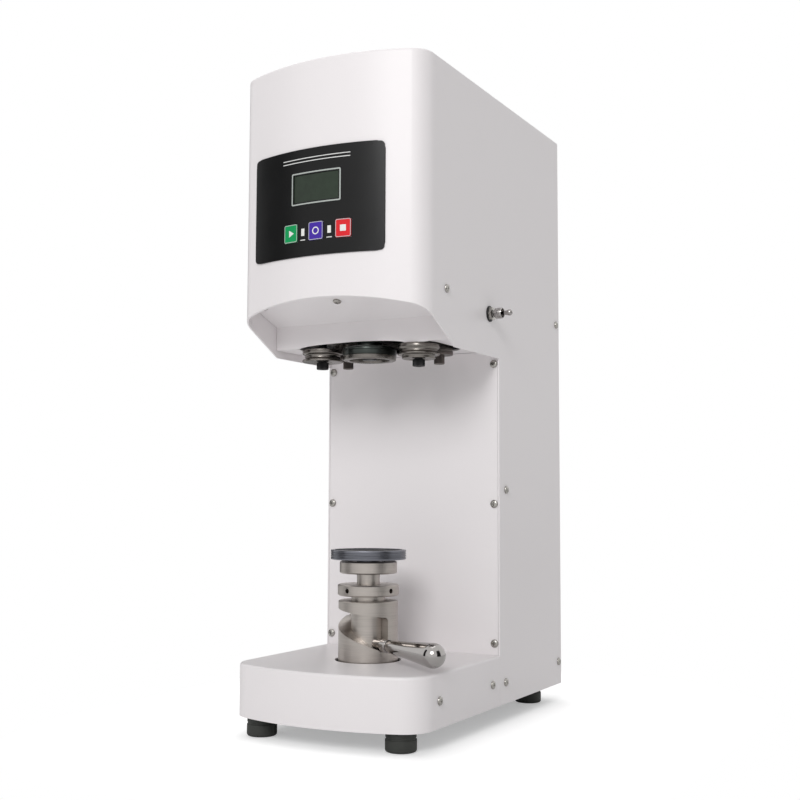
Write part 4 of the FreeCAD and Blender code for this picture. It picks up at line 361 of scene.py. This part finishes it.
def dress(thing, slot, body, stands_for=None, paint=None):
    """Gives a piece its finish, the body that it rides on and the node that it stands for."""
    thing.data.materials.clear()
    thing.data.materials.append(paint or finishes[slot])
    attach(thing, body)
    if stands_for:
        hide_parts(stands_for)
    return thing


# Pan-head screws with a cross recess

def pan_screw():
    """Shank below the wall's face, domed head above it, and a recess that narrows downwards."""
    dome = [(3.8, 0.75), (3.68, 1.2), (3.4, 1.6), (2.85, 1.92), (2.1, 2.1), (1.1, 2.18), (0, 2.2)]
    shank = [(0, -7.9), (1.7, -7.9), (1.95, -7.5), (1.95, 0), (3.55, 0)]
    screw = lathe("pan_screw", shank + arc(3.55, 0.25, 0.25, -90, 0, 3) + dome, 40)
    recess_wide = 4.3
    recess_thin = 0.85
    recess_tall = 2.6
    recess_level = 1.75
    narrowing = 0.55
    facing_down = -0.9
    blades = []
    for long_x, long_y in ((recess_wide, recess_thin), (recess_thin, recess_wide)):
        clear()
        bpy.ops.mesh.primitive_cube_add(size=1, location=(0, 0, recess_level * MM),
                                        scale=(long_x * MM, long_y * MM, recess_tall * MM))
        blade = start("blade")
        bpy.ops.object.mode_set(mode="EDIT")
        bpy.ops.mesh.select_all(action="DESELECT")
        shape = bmesh.from_edit_mesh(blade.data)
        for face in shape.faces:
            face.select = face.normal.z < facing_down
        bmesh.update_edit_mesh(blade.data)
        bpy.ops.transform.resize(value=(narrowing, narrowing, 1), center_override=(0, 0, 0))
        bpy.ops.object.mode_set(mode="OBJECT")
        blades.append(blade)
    for blade in blades:
        subtract(screw, blade)
    only(screw)
    bpy.ops.object.shade_smooth_by_angle(angle=math.radians(32))
    return screw


screw = pan_screw()
wall = 95.0
side_places = [(98.0, 218.0), (95.7, 37.0), (235.0, 40.0), (234.0, 395.0), (-31.4, 392.5),
               (-44.4, 40.0), (65.2, 38.5)]
front_face = 82.7
front_side = 89.6
front_levels = (74.0, 204.5, 338.0)
rear_face = 243.0
rear_side = 87.0
rear_levels = (30.0, 310.0, 580.0)
heads = []
for side in (-1, 1):
    for y, z in side_places:
        heads.append(copy_to(screw, spot(side * wall, y, z), (side, 0, 0)))
    for z in front_levels:
        heads.append(copy_to(screw, spot(side * front_side, front_face, z), (0, -1, 0)))
    for z in rear_levels:
        heads.append(copy_to(screw, spot(side * rear_side, rear_face, z), (0, 1, 0)))
dress(gather(heads, "wall_screws"), "screws", "machine", "casing_screws")

brow_slope = math.radians(20)
brow_row = -54.0
brow_level = 372.0 + 37.5 * math.tan(brow_slope)
brow_way = (0, -math.sin(brow_slope), -math.cos(brow_slope))
heads = [copy_to(screw, spot(x, brow_row, brow_level), brow_way) for x in (-82.0, -3.0, 80.0)]
dress(gather(heads, "brow_screws"), "screws", "machine", "chin_screws")
bpy.data.objects.remove(screw)


# Rubber feet with a rounded tread and a collar line

foot_profile = [(3.1, 8.5), (7.6, 8.5), (7.6, 0)]
foot_profile += arc(11.2, 2.2, 2.2, -90, 0, 7) + [(13.4, 9.6)] + arc(12.9, 9.9, 0.5, 0, 60, 3)
foot_profile += [(12.6, 10.6), (12.6, 11.6), (12.9, 12.0), (13.1, 12.4), (13.1, 16.2)]
foot_profile += arc(12.3, 16.2, 0.8, 0, 90, 4) + [(3.1, 17), (3.1, 8.5)]
foot = lathe("foot", foot_profile, 64)
feet = [copy_to(foot, spot(x, y, 0), straight_up) for x in (-70.0, 70.0) for y in (-66.0, 212.0)]
dress(gather(feet, "moulded_feet"), "rubber", "machine", "rubber_feet")
bpy.data.objects.remove(foot)


# Lever: ground rod, collar and polished teardrop grip

lever_turn = math.radians(-30)
lever_way = (math.cos(lever_turn), math.sin(lever_turn), 0)
lever_root = spot(0, 0, 78.5)
neck = 5.6
ball = 10.6
grip_end = 119.0
grip_face = 38.0
grip_start = 38.7
ball_centre = grip_end - ball
lean = math.asin((ball - neck) / (ball_centre - grip_face))
swell = 1.12
thickening = ball * math.cos(lean) - neck
lengthening = ball_centre - ball * math.sin(lean) - grip_start
flank = [(neck + thickening * part ** swell, grip_start + lengthening * part)
         for part in (0.12, 0.3, 0.5, 0.7, 0.85)]
grip = lathe("teardrop_grip", [(0, grip_face), (5.0, grip_face), (5.45, 38.25), (neck, grip_start)]
             + flank + arc(0, ball_centre, ball, -math.degrees(lean), 90, 26), 96, 40)
move_to(grip, lever_root, lever_way)
dress(grip, "polished", "lever", "lever_grip")
rod = lathe("lever_bar", [(0, 8.5), (4.3, 8.5), (4.75, 9.0), (4.75, 28.4), (5.6, 28.4), (6.1, 28.9),
                          (6.1, 35.4), (5.8, 35.8), (5.8, 36.3), (6.0, 36.6), (6.0, 37.3), (5.7, 37.7),
                          (5.1, 37.8), (5.1, grip_face), (0, grip_face)], 72)
move_to(rod, lever_root, lever_way)
dress(rod, "polished", "lever", "lever_rod")


# Turntable: dark disc with turned grooves in its rim, and the mat's raised rings

table_edge = 34.5
groove_floor = 34.0
disc_profile = [(0, 144.7), (7.5, 144.7), (7.5, 151.9), (10.55, 151.9), (10.55, 153.8), (33.6, 153.8)]
disc_profile += arc(33.9, 154.4, 0.6, -90, 0, 4)
for groove in (156.0, 158.1, 160.2):
    disc_profile += [(table_edge, groove - 0.5), (groove_floor, groove - 0.25),
                     (groove_floor, groove + 0.25), (table_edge, groove + 0.5)]
disc_profile += arc(33.8, 161.8, 0.7, 0, 90, 5) + [(31.3, 162.5), (31.1, 162.3), (31.1, 160.0), (0, 160.0)]
disc = lathe("turntable_disc", disc_profile, 120)
move_to(disc, spot(0, 0, 0))
dress(disc, "dark_rim", "turntable", "platform")
mat_top = 162.0
dip = 161.55
mat_profile = [(0, 160.0), (30.8, 160.0), (30.8, 161.7), (30.5, mat_top)]
for ring in (27.5, 23.0, 18.5, 14.0, 9.5, 5.0):
    mat_profile += [(ring + 0.5, mat_top), (ring + 0.3, dip), (ring - 0.3, dip), (ring - 0.5, mat_top)]
mat = lathe("turntable_mat", mat_profile + [(0, mat_top)], 96)
move_to(mat, spot(0, 0, 0))
dress(mat, "pad_rubber", "turntable", "rubber_pad")


# Switch: washer, chamfered nut, stout bush and lever on the right wall

bush_radius = 3.45


def hex_nut():
    """Hexagon nut with both faces chamfered round its corners."""
    clear()
    bpy.ops.mesh.primitive_cylinder_add(vertices=6, radius=6.6 * MM, depth=3.1 * MM,
                                        location=(0, 0, 2.6 * MM))
    nut = start("switch_nut")
    bore = lathe("bore", [(0, -2), (bush_radius, -2), (bush_radius, 8), (0, 8)], 48)
    cone = lathe("cone", [(0, 0.9), (6.05, 0.9), (6.7, 1.35), (6.7, 3.75), (6.05, 4.2), (0, 4.2)], 72)
    only(nut)
    crown = nut.modifiers.new("crown", "BOOLEAN")
    crown.operation = "INTERSECT"
    crown.solver = "EXACT"
    crown.object = cone
    bpy.ops.object.modifier_apply(modifier=crown.name)
    bpy.data.objects.remove(cone)
    subtract(nut, bore)
    only(nut)
    bpy.ops.object.shade_smooth_by_angle(angle=math.radians(30))
    return nut


switch_place = spot(wall, 60.5, 382.8)
outwards = (1, 0, 0)
nut = hex_nut()
move_to(nut, switch_place, outwards)
dress(nut, "screws", "machine", "toggle_nut")
washer = lathe("switch_washer", [(bush_radius, 0), (7.5, 0), (7.6, 0.15), (7.6, 0.75), (7.35, 1.0),
                                 (4.0, 1.0), (bush_radius, 0.8), (bush_radius, 0)], 64)
move_to(washer, switch_place, outwards)
dress(washer, "black_screws", "machine")
turns = [(2.15, 4.3), (3.3, 4.3)]
pitch = 0.55
for crest in range(4):
    turns += [(3.38, 4.35 + crest * pitch), (3.6, 4.6 + crest * pitch), (3.38, 4.85 + crest * pitch)]
turns += [(3.4, 6.7), (4.7, 6.7), (5.1, 7.1), (5.1, 8.6), (4.8, 8.9), (4.8, 9.4), (5.1, 9.7), (5.1, 12.9),
          (4.9, 13.4), (4.6, 13.6), (4.3, 13.5), (3.9, 10.5), (3.3, 8.6), (2.15, 8.45), (2.15, 4.3)]
bush = lathe("switch_thread", turns, 48)
move_to(bush, switch_place, outwards)
dress(bush, "screws", "machine", paint=finishes["polished"])
bat_profile = [(0, 2.5), (1.1, 2.5), (1.1, 4), (2, 5), (2, 6), (1.3, 7), (1.5, 13.5), (2.2, 17.2),
               (2.3, 18.0), (2.5, 18.8)]
bat = lathe("switch_lever", bat_profile + arc(0, 20.5, 3.0, -20, 90, 12), 56)
move_to(bat, switch_place, outwards)
dress(bat, "polished", "switch_bat", "toggle_bat")


# Seaming head: the under plate's mouth, the rollers, the chuck and the cap screws

def bowed_mouth():
    """Under plate whose step ends in a bowed edge over the mouth."""
    edge_row = -15.75
    edge_level = 349.5
    only(nodes["under_plate"])
    bpy.ops.object.duplicate(linked=False)
    plate = bpy.context.object
    plate.name = "folded_under_plate"
    plate.data.name = "folded_under_plate"
    bpy.ops.object.mode_set(mode="EDIT")
    bpy.ops.mesh.select_all(action="SELECT")
    bpy.ops.mesh.remove_doubles(threshold=weld_gap)
    bpy.ops.object.mode_set(mode="OBJECT")
    clear()
    bpy.ops.mesh.primitive_cube_add(size=1, location=spot(0, edge_row, 352.2),
                                    scale=(138 * MM, 1.5 * MM, 5.4 * MM))
    strip = start("mouth_strip")
    clear()
    bpy.ops.mesh.primitive_cylinder_add(vertices=128, radius=1, depth=8 * MM,
                                        location=spot(-12, edge_row, edge_level),
                                        rotation=(math.pi / 2, 0, 0))
    bpy.context.object.scale = (57 * MM, 3.9 * MM, 1)
    subtract(strip, start("mouth_edge"))
    only(plate)
    weld = plate.modifiers.new("weld", "BOOLEAN")
    weld.operation = "UNION"
    weld.solver = "EXACT"
    weld.object = strip
    bpy.ops.object.modifier_apply(modifier=weld.name)
    bpy.data.objects.remove(strip)
    bpy.ops.mesh.customdata_custom_splitnormals_clear()
    bpy.ops.object.shade_flat()
    return plate


dress(bowed_mouth(), "white_coat", "machine", "under_plate")


cap_steps = 96
rib_depth = 0.95


def knurl(thing, radius, low, high):
    """Fine upright ribs round a cap screw's head, made from every other row of its corners."""
    only(thing)
    bpy.ops.object.mode_set(mode="EDIT")
    bpy.ops.mesh.select_all(action="DESELECT")
    shape = bmesh.from_edit_mesh(thing.data)
    for vertex in shape.verts:
        out = vertex.co.xy.length
        step = round(math.atan2(vertex.co.y, vertex.co.x) * cap_steps / (2 * math.pi))
        on_head = abs(out - radius * MM) < 0.02 * MM and low * MM < vertex.co.z < high * MM
        if on_head and step % 2:
            vertex.select = True
    bmesh.update_edit_mesh(thing.data)
    bpy.ops.transform.resize(value=(rib_depth, rib_depth, 1), center_override=(0, 0, 0))
    bpy.ops.object.mode_set(mode="OBJECT")


def socket(thing, low, radius):
    """Hexagon socket cut into a cap screw from below."""
    deep = 3.6
    clear()
    bpy.ops.mesh.primitive_cylinder_add(vertices=6, radius=radius * MM, depth=deep * 2 * MM,
                                        location=(0, 0, low * MM))
    subtract(thing, start("hexagon"), "FAST")
    only(thing)
    bpy.ops.object.shade_smooth_by_angle(angle=math.radians(25))


def level_of(node, end):
    """Lowest (0) or highest (1) level of a node, in millimetres."""
    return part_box(node)[end].z / MM


roller_x = 51.5
roller_edge = 19.25
roller_high = level_of("left_roller", 1)
arm_low = level_of("left_arm", 0)
arm_high = level_of("left_arm", 1)
# Flanks of the rollers, as radius and height above the lower face
first_flank = [(18.75, 0), (roller_edge, 0.5), (roller_edge, 1.6), (18.95, 2.0), (16.9, 3.3), (16.65, 3.8),
               (16.65, 5.8), (16.9, 6.3), (18.95, 7.5), (roller_edge, 7.9), (roller_edge, 9.0), (18.75, 9.3),
               (18.75, 9.8), (roller_edge, 10.1)]
second_flank = [(14.9, 0), (15.25, 0.4), (15.25, 2.6), (15.5, 3.0), (18.9, 3.5), (roller_edge, 3.8),
                (roller_edge, 4.8), (18.9, 5.1), (17.9, 6.1), (17.65, 6.6), (17.65, 8.4), (17.9, 8.9),
                (18.9, 9.8), (roller_edge, 10.2)]
for side, name, body, flank in ((-1, "left", "first_roller", first_flank),
                                (1, "right", "second_roller", second_flank)):
    low = level_of(name + "_roller", 0)
    profile = [(4.1, low + 0.4), (8.6, low + 0.4), (8.8, low)]
    profile += [(radius, low + rise) for radius, rise in flank]
    profile += [(roller_edge, roller_high - 1.0), (18.95, roller_high - 0.3), (18.25, roller_high),
                (9.5, roller_high), (9.2, roller_high - 0.4), (4.1, roller_high - 0.4), (4.1, low + 0.4)]
    wheel = lathe(name + "_seaming_roller", profile, 128)
    move_to(wheel, spot(side * roller_x, 0, 0))
    dress(wheel, "tool_steel", body, name + "_roller")

# Chuck in two pieces, the bright lip and the body, whose steel is painted darker as the shade under the
# head's plate, as radius and height above the lower face
chuck_low = level_of("seaming_chuck", 0)
lip_profile = [(18.1, 3.3), (18.7, 0.3), (19.0, 0), (23.75, 0), (24.4, 0.4), (24.55, 0.8), (24.85, 3.9),
               (24.5, 4.2), (18.1, 4.2), (18.1, 3.3)]
body_profile = [(3.2, 4.0), (17.2, 4.0), (17.9, 4.2), (24.4, 4.2), (24.9, 4.6), (25.15, 7.0), (25.15, 8.2),
                (24.75, 8.5), (24.75, 8.9), (25.15, 9.2), (25.15, 10.0), (24.6, 11.4), (23.15, 12.1),
                (12.6, 12.1), (12.2, 12.5), (12.0, 13.0), (12.0, 19.1), (7.05, 19.1), (7.05, 8.1), (3.2, 8.1),
                (3.2, 4.0)]
lip = lathe("chuck_lip", [(radius, chuck_low + rise) for radius, rise in lip_profile], 144)
move_to(lip, spot(0, 0, 0))
dress(lip, "tool_steel", "chuck", "seaming_chuck")
hub = lathe("chuck_body", [(radius, chuck_low + rise) for radius, rise in body_profile], 144)
move_to(hub, spot(0, 0, 0))
dress(hub, "tool_steel", "chuck", paint=shaded_chuck_body_steel)

cap_radius = 5.7
for side, name, body in ((-1, "left", "left_swing_arm"), (1, "right", "right_swing_arm")):
    low = level_of(name + "_roller_bolt", 0)
    high = level_of(name + "_roller_bolt", 1)
    seat = roller_high + 0.1
    cap = lathe(name + "_cap_screw", [
        (0, low), (5.3, low), (cap_radius, low + 0.5), (cap_radius, low + 1.2), (cap_radius, low + 5.9),
        (5.5, low + 6.4), (4.0, low + 6.4), (4.0, seat), (8.0, seat), (8.0, arm_low), (4.0, arm_low),
        (4.0, high - 5), (6.5, high - 5), (6.5, high - 0.5), (6.1, high), (0, high)], cap_steps)
    knurl(cap, cap_radius, low + 0.7, low + 6.1)
    socket(cap, low, 2.9)
    move_to(cap, spot(side * roller_x, 0, 0))
    dress(cap, "black_screws", body, name + "_roller_bolt")

pivot_x = 50.0
pivot_y = 45.0
pivot_radius = 5.0
foot_level = level_of("pivot_bolts", 0)
head_level = foot_level - 2.4
high = level_of("pivot_bolts", 1)
plate_low = level_of("head_plate", 0)
seat = arm_high + 0.1
pivot = lathe("pivot", [
    (0, head_level), (4.6, head_level), (pivot_radius, foot_level - 1.9), (pivot_radius, foot_level - 1.2),
    (pivot_radius, foot_level + 5.6), (4.8, foot_level + 6.0), (12.5, foot_level + 6.0),
    (13.0, foot_level + 6.4), (13.0, foot_level + 8.5), (12.6, foot_level + 8.9),
    (pivot_radius, foot_level + 8.9), (pivot_radius, seat), (9.0, seat), (9.0, plate_low),
    (pivot_radius, plate_low), (pivot_radius, high), (0, high)], cap_steps)
knurl(pivot, pivot_radius, foot_level - 1.7, foot_level + 5.8)
socket(pivot, head_level, 2.6)
pivots = [copy_to(pivot, spot(side * pivot_x, pivot_y, 0), straight_up) for side in (-1, 1)]
dress(gather(pivots, "pivot_cap_screws"), "screws", "machine", "pivot_bolts", paint=cap_steel)
bpy.data.objects.remove(pivot)


# Printed marks and thin borders of the front panel

before_panel = -100
standing = (math.pi / 2, 0, 0)


def flat_shape(name, x, z, wide, tall, corner):
    """Upright plate with rounded corners, in front of the panel."""
    clear()
    bpy.ops.mesh.primitive_plane_add(size=1, location=spot(x, before_panel, z), rotation=standing)
    bpy.context.object.scale = (wide * MM, tall * MM, 1)
    thing = start(name)
    if corner:
        bpy.ops.object.mode_set(mode="EDIT")
        bpy.ops.mesh.select_all(action="SELECT")
        bpy.ops.mesh.bevel(affect="VERTICES", offset=corner * MM, segments=5)
        bpy.ops.object.mode_set(mode="OBJECT")
    return thing


def border(thing, wide):
    """Keeps only a rim of a flat shape."""
    only(thing)
    bpy.ops.object.mode_set(mode="EDIT")
    bpy.ops.mesh.select_all(action="SELECT")
    bpy.ops.mesh.inset(thickness=wide * MM)
    bpy.ops.mesh.delete(type="FACE")
    bpy.ops.object.mode_set(mode="OBJECT")


def lay_on(thing, carrier, proud=0.05):
    """Cuts a flat shape into strips, lays it on the bowed surface and gives it its thickness."""
    only(thing)
    lowest = min(vertex.co.x for vertex in thing.data.vertices)
    highest = max(vertex.co.x for vertex in thing.data.vertices)
    strip_wide = 1.5 * MM
    strips = max(2, int((highest - lowest) / strip_wide))
    bpy.ops.object.mode_set(mode="EDIT")
    for strip in range(1, strips):
        bpy.ops.mesh.select_all(action="SELECT")
        across_x = lowest + (highest - lowest) * strip / strips
        bpy.ops.mesh.bisect(plane_co=(across_x, 0, 0), plane_no=(1, 0, 0))
    bpy.ops.object.mode_set(mode="OBJECT")
    wrap = thing.modifiers.new("wrap", "SHRINKWRAP")
    wrap.wrap_method = "PROJECT"
    wrap.use_project_y = True
    wrap.use_negative_direction = True
    wrap.use_positive_direction = True
    wrap.target = carrier
    bpy.ops.object.modifier_apply(modifier=wrap.name)
    sheet = thing.modifiers.new("sheet", "SOLIDIFY")
    sheet.thickness = 2 * proud * MM
    sheet.offset = 0
    bpy.ops.object.modifier_apply(modifier=sheet.name)


key_level = 441.5
key_wide = 14.3
key_tall = 15.7
key_corner = 1.5
key_rim = 0.55
for colour, x in (("green", -28.5), ("blue", -1.5), ("red", 25.5)):
    key = nodes[colour + "_key"]
    edge = flat_shape(colour + "_key_border", x, key_level, key_wide, key_tall, key_corner)
    border(edge, key_rim)
    lay_on(edge, key)
    pale = finish(colour + "_border", (0.5, 0.5, 0.52), 0.4, spread=0.04)
    dress(edge, "lamps", colour + "_button", paint=pale)
    clear()
    if colour == "green":
        bpy.ops.mesh.primitive_circle_add(vertices=3, radius=3.6 * MM, fill_type="NGON",
                                          location=spot(x, before_panel, key_level),
                                          rotation=(math.pi / 2, math.pi / 2, 0))
        mark = start("start_mark")
    elif colour == "blue":
        bpy.ops.mesh.primitive_circle_add(vertices=40, radius=3.4 * MM, fill_type="NGON",
                                          location=spot(x, before_panel, key_level), rotation=standing)
        mark = start("reset_mark")
        border(mark, 1.0)
    else:
        mark = flat_shape("stop_mark", x, key_level, 5.6, 5.6, 0.4)
    lay_on(mark, key)
    dress(mark, "lamps", colour + "_button", paint=print_white)

overlay = nodes["panel_overlay"]
title_x = -3.5
title_wide = 70
title_thin = 0.7
lamp_line = 434.6
lamp_wide = 5.2
lamp_thin = 0.8
for name, x, z, wide, tall in (("upper_rule", title_x, 507.6, title_wide, title_thin),
                               ("lower_rule", title_x, 504.6, title_wide, title_thin),
                               ("left_lamp_rule", -15.2, lamp_line, lamp_wide, lamp_thin),
                               ("right_lamp_rule", 12.0, lamp_line, lamp_wide, lamp_thin)):
    rule = flat_shape(name, x, z, wide, tall, 0)
    lay_on(rule, overlay)
    dress(rule, "lamps", "machine", paint=print_white)
rim_wide = 3.0
rim_proud = 1.23
rim = flat_shape("panel_border", -6.25, 468.0, 135.4, 95.0, 3.8)
border(rim, rim_wide)
lay_on(rim, nodes["main_shell"], rim_proud)
dress(rim, "overlay", "machine")

nodes["lcd_frame"].data.materials[0] = finishes["overlay"]
line_wide = 1.2
line_proud = 0.12
line = flat_shape("screen_line", -2.5, 480.5, 50.8, 28.8, 1.4)
border(line, line_wide)
lay_on(line, nodes["lcd_frame"], line_proud)
dress(line, "screen_frame", "machine")


# Light and backdrop

def lamp(name, place, target, size, watts):
    """Square area lamp that faces its target."""
    data = bpy.data.lights.new(name, "AREA")
    data.energy = watts
    data.size = size
    thing = bpy.data.objects.new(name, data)
    scene.collection.objects.link(thing)
    thing.location = place
    thing.rotation_euler = (Vector(target) - Vector(place)).to_track_quat("-Z", "Y").to_euler()


lamp("key_light", (0.65, -2.6, 1.7), (0, 0, 0.32), 1.1, 39)
lamp("top_light", (-0.3, 0.1, 2.6), (0, 0, 0.2), 1.4, 8)
lamp("rear_light", (-1.4, 2.1, 1.6), (0, 0, 0.3), 1.4, 12)


def card(name, degrees, away, wide, tall, shade):
    """Upright studio card that only reflections show, to give bright metal its dark streaks."""
    way = Vector((math.sin(math.radians(degrees)), -math.cos(math.radians(degrees)), 0))
    clear()
    bpy.ops.mesh.primitive_plane_add(size=1, location=way * away + Vector((0, 0, tall / 2)),
                                     rotation=(math.pi / 2, 0, math.radians(degrees)))
    bpy.context.object.scale = (wide, tall, 1)
    thing = start(name)
    board = bpy.data.materials.new(name)
    board.use_nodes = True
    matt = board.node_tree.nodes["Principled BSDF"]
    matt.inputs["Base Color"].default_value = (shade, shade, shade, 1)
    matt.inputs["Roughness"].default_value = 0.9
    thing.data.materials.append(board)
    thing.visible_camera = False
    thing.visible_diffuse = False
    thing.visible_shadow = False


card("right_card", 78, 1.5, 1.0, 1.5, 0.02)
card("left_card", -58, 1.6, 0.8, 1.5, 0.02)
card("far_left_card", -128, 1.6, 1.2, 1.5, 0.04)

world = bpy.data.worlds.new("studio")
scene.world = world
world.use_nodes = True
sky = world.node_tree
backing = sky.nodes["Background"]
backing.inputs["Color"].default_value = (0.8, 0.8, 0.8, 1)
backing.inputs["Strength"].default_value = 0.52
white = sky.nodes.new("ShaderNodeBackground")
white.inputs["Color"].default_value = (1, 1, 1, 1)
white.inputs["Strength"].default_value = 1.0
path = sky.nodes.new("ShaderNodeLightPath")
seen = sky.nodes.new("ShaderNodeMath")
seen.operation = "MAXIMUM"
shown = sky.nodes.new("ShaderNodeMath")
shown.operation = "MAXIMUM"
choose = sky.nodes.new("ShaderNodeMixShader")
sky.links.new(path.outputs["Is Camera Ray"], seen.inputs[0])
sky.links.new(path.outputs["Is Glossy Ray"], seen.inputs[1])
sky.links.new(seen.outputs["Value"], shown.inputs[0])
sky.links.new(path.outputs["Is Transmission Ray"], shown.inputs[1])
sky.links.new(shown.outputs["Value"], choose.inputs["Fac"])
sky.links.new(backing.outputs["Background"], choose.inputs[1])
sky.links.new(white.outputs["Background"], choose.inputs[2])
sky.links.new(choose.outputs["Shader"], sky.nodes["World Output"].inputs["Surface"])

# White floor that keeps the object's shadow: its own shine grows with the distance from the footprint
footprint = (0.08, 0.15, 0)
shadow_reach = 0.22
clear()
bpy.ops.mesh.primitive_plane_add(size=12, location=(0, 0, -0.0002))
floor = bpy.context.object
floor.name = "studio_floor"
paper = bpy.data.materials.new("studio_paper")
paper.use_nodes = True
tree = paper.node_tree
matt = tree.nodes["Principled BSDF"]
matt.inputs["Base Color"].default_value = (0.95, 0.95, 0.95, 1)
matt.inputs["Roughness"].default_value = 0.9
matt.inputs["Specular IOR Level"].default_value = 0.1
shine = tree.nodes.new("ShaderNodeEmission")
shine.inputs["Color"].default_value = (1, 1, 1, 1)
place = tree.nodes.new("ShaderNodeTexCoord")
spread_out = tree.nodes.new("ShaderNodeVectorMath")
spread_out.operation = "ABSOLUTE"
beside = tree.nodes.new("ShaderNodeVectorMath")
beside.operation = "SUBTRACT"
beside.inputs[1].default_value = footprint
outside = tree.nodes.new("ShaderNodeVectorMath")
outside.operation = "MAXIMUM"
outside.inputs[1].default_value = (0, 0, 0)
away = tree.nodes.new("ShaderNodeVectorMath")
away.operation = "LENGTH"
share = tree.nodes.new("ShaderNodeMapRange")
share.inputs["From Min"].default_value = 0.0
share.inputs["From Max"].default_value = shadow_reach
share.inputs["To Min"].default_value = 0.16
share.inputs["To Max"].default_value = 1.0
shine_level = tree.nodes.new("ShaderNodeMapRange")
shine_level.inputs["From Min"].default_value = 0.0
shine_level.inputs["From Max"].default_value = shadow_reach
shine_level.inputs["To Min"].default_value = 2.2
shine_level.inputs["To Max"].default_value = 1.0
path = tree.nodes.new("ShaderNodeLightPath")
part_of = tree.nodes.new("ShaderNodeMath")
part_of.operation = "MULTIPLY"
choose = tree.nodes.new("ShaderNodeMixShader")
tree.links.new(place.outputs["Object"], spread_out.inputs[0])
tree.links.new(spread_out.outputs["Vector"], beside.inputs[0])
tree.links.new(beside.outputs["Vector"], outside.inputs[0])
tree.links.new(outside.outputs["Vector"], away.inputs[0])
tree.links.new(away.outputs["Value"], share.inputs["Value"])
tree.links.new(away.outputs["Value"], shine_level.inputs["Value"])
tree.links.new(shine_level.outputs["Result"], shine.inputs["Strength"])
tree.links.new(path.outputs["Is Camera Ray"], part_of.inputs[0])
tree.links.new(share.outputs["Result"], part_of.inputs[1])
tree.links.new(part_of.outputs["Value"], choose.inputs["Fac"])
tree.links.new(matt.outputs["BSDF"], choose.inputs[1])
tree.links.new(shine.outputs["Emission"], choose.inputs[2])
tree.links.new(choose.outputs["Shader"], tree.nodes["Material Output"].inputs["Surface"])
floor.data.materials.append(paper)
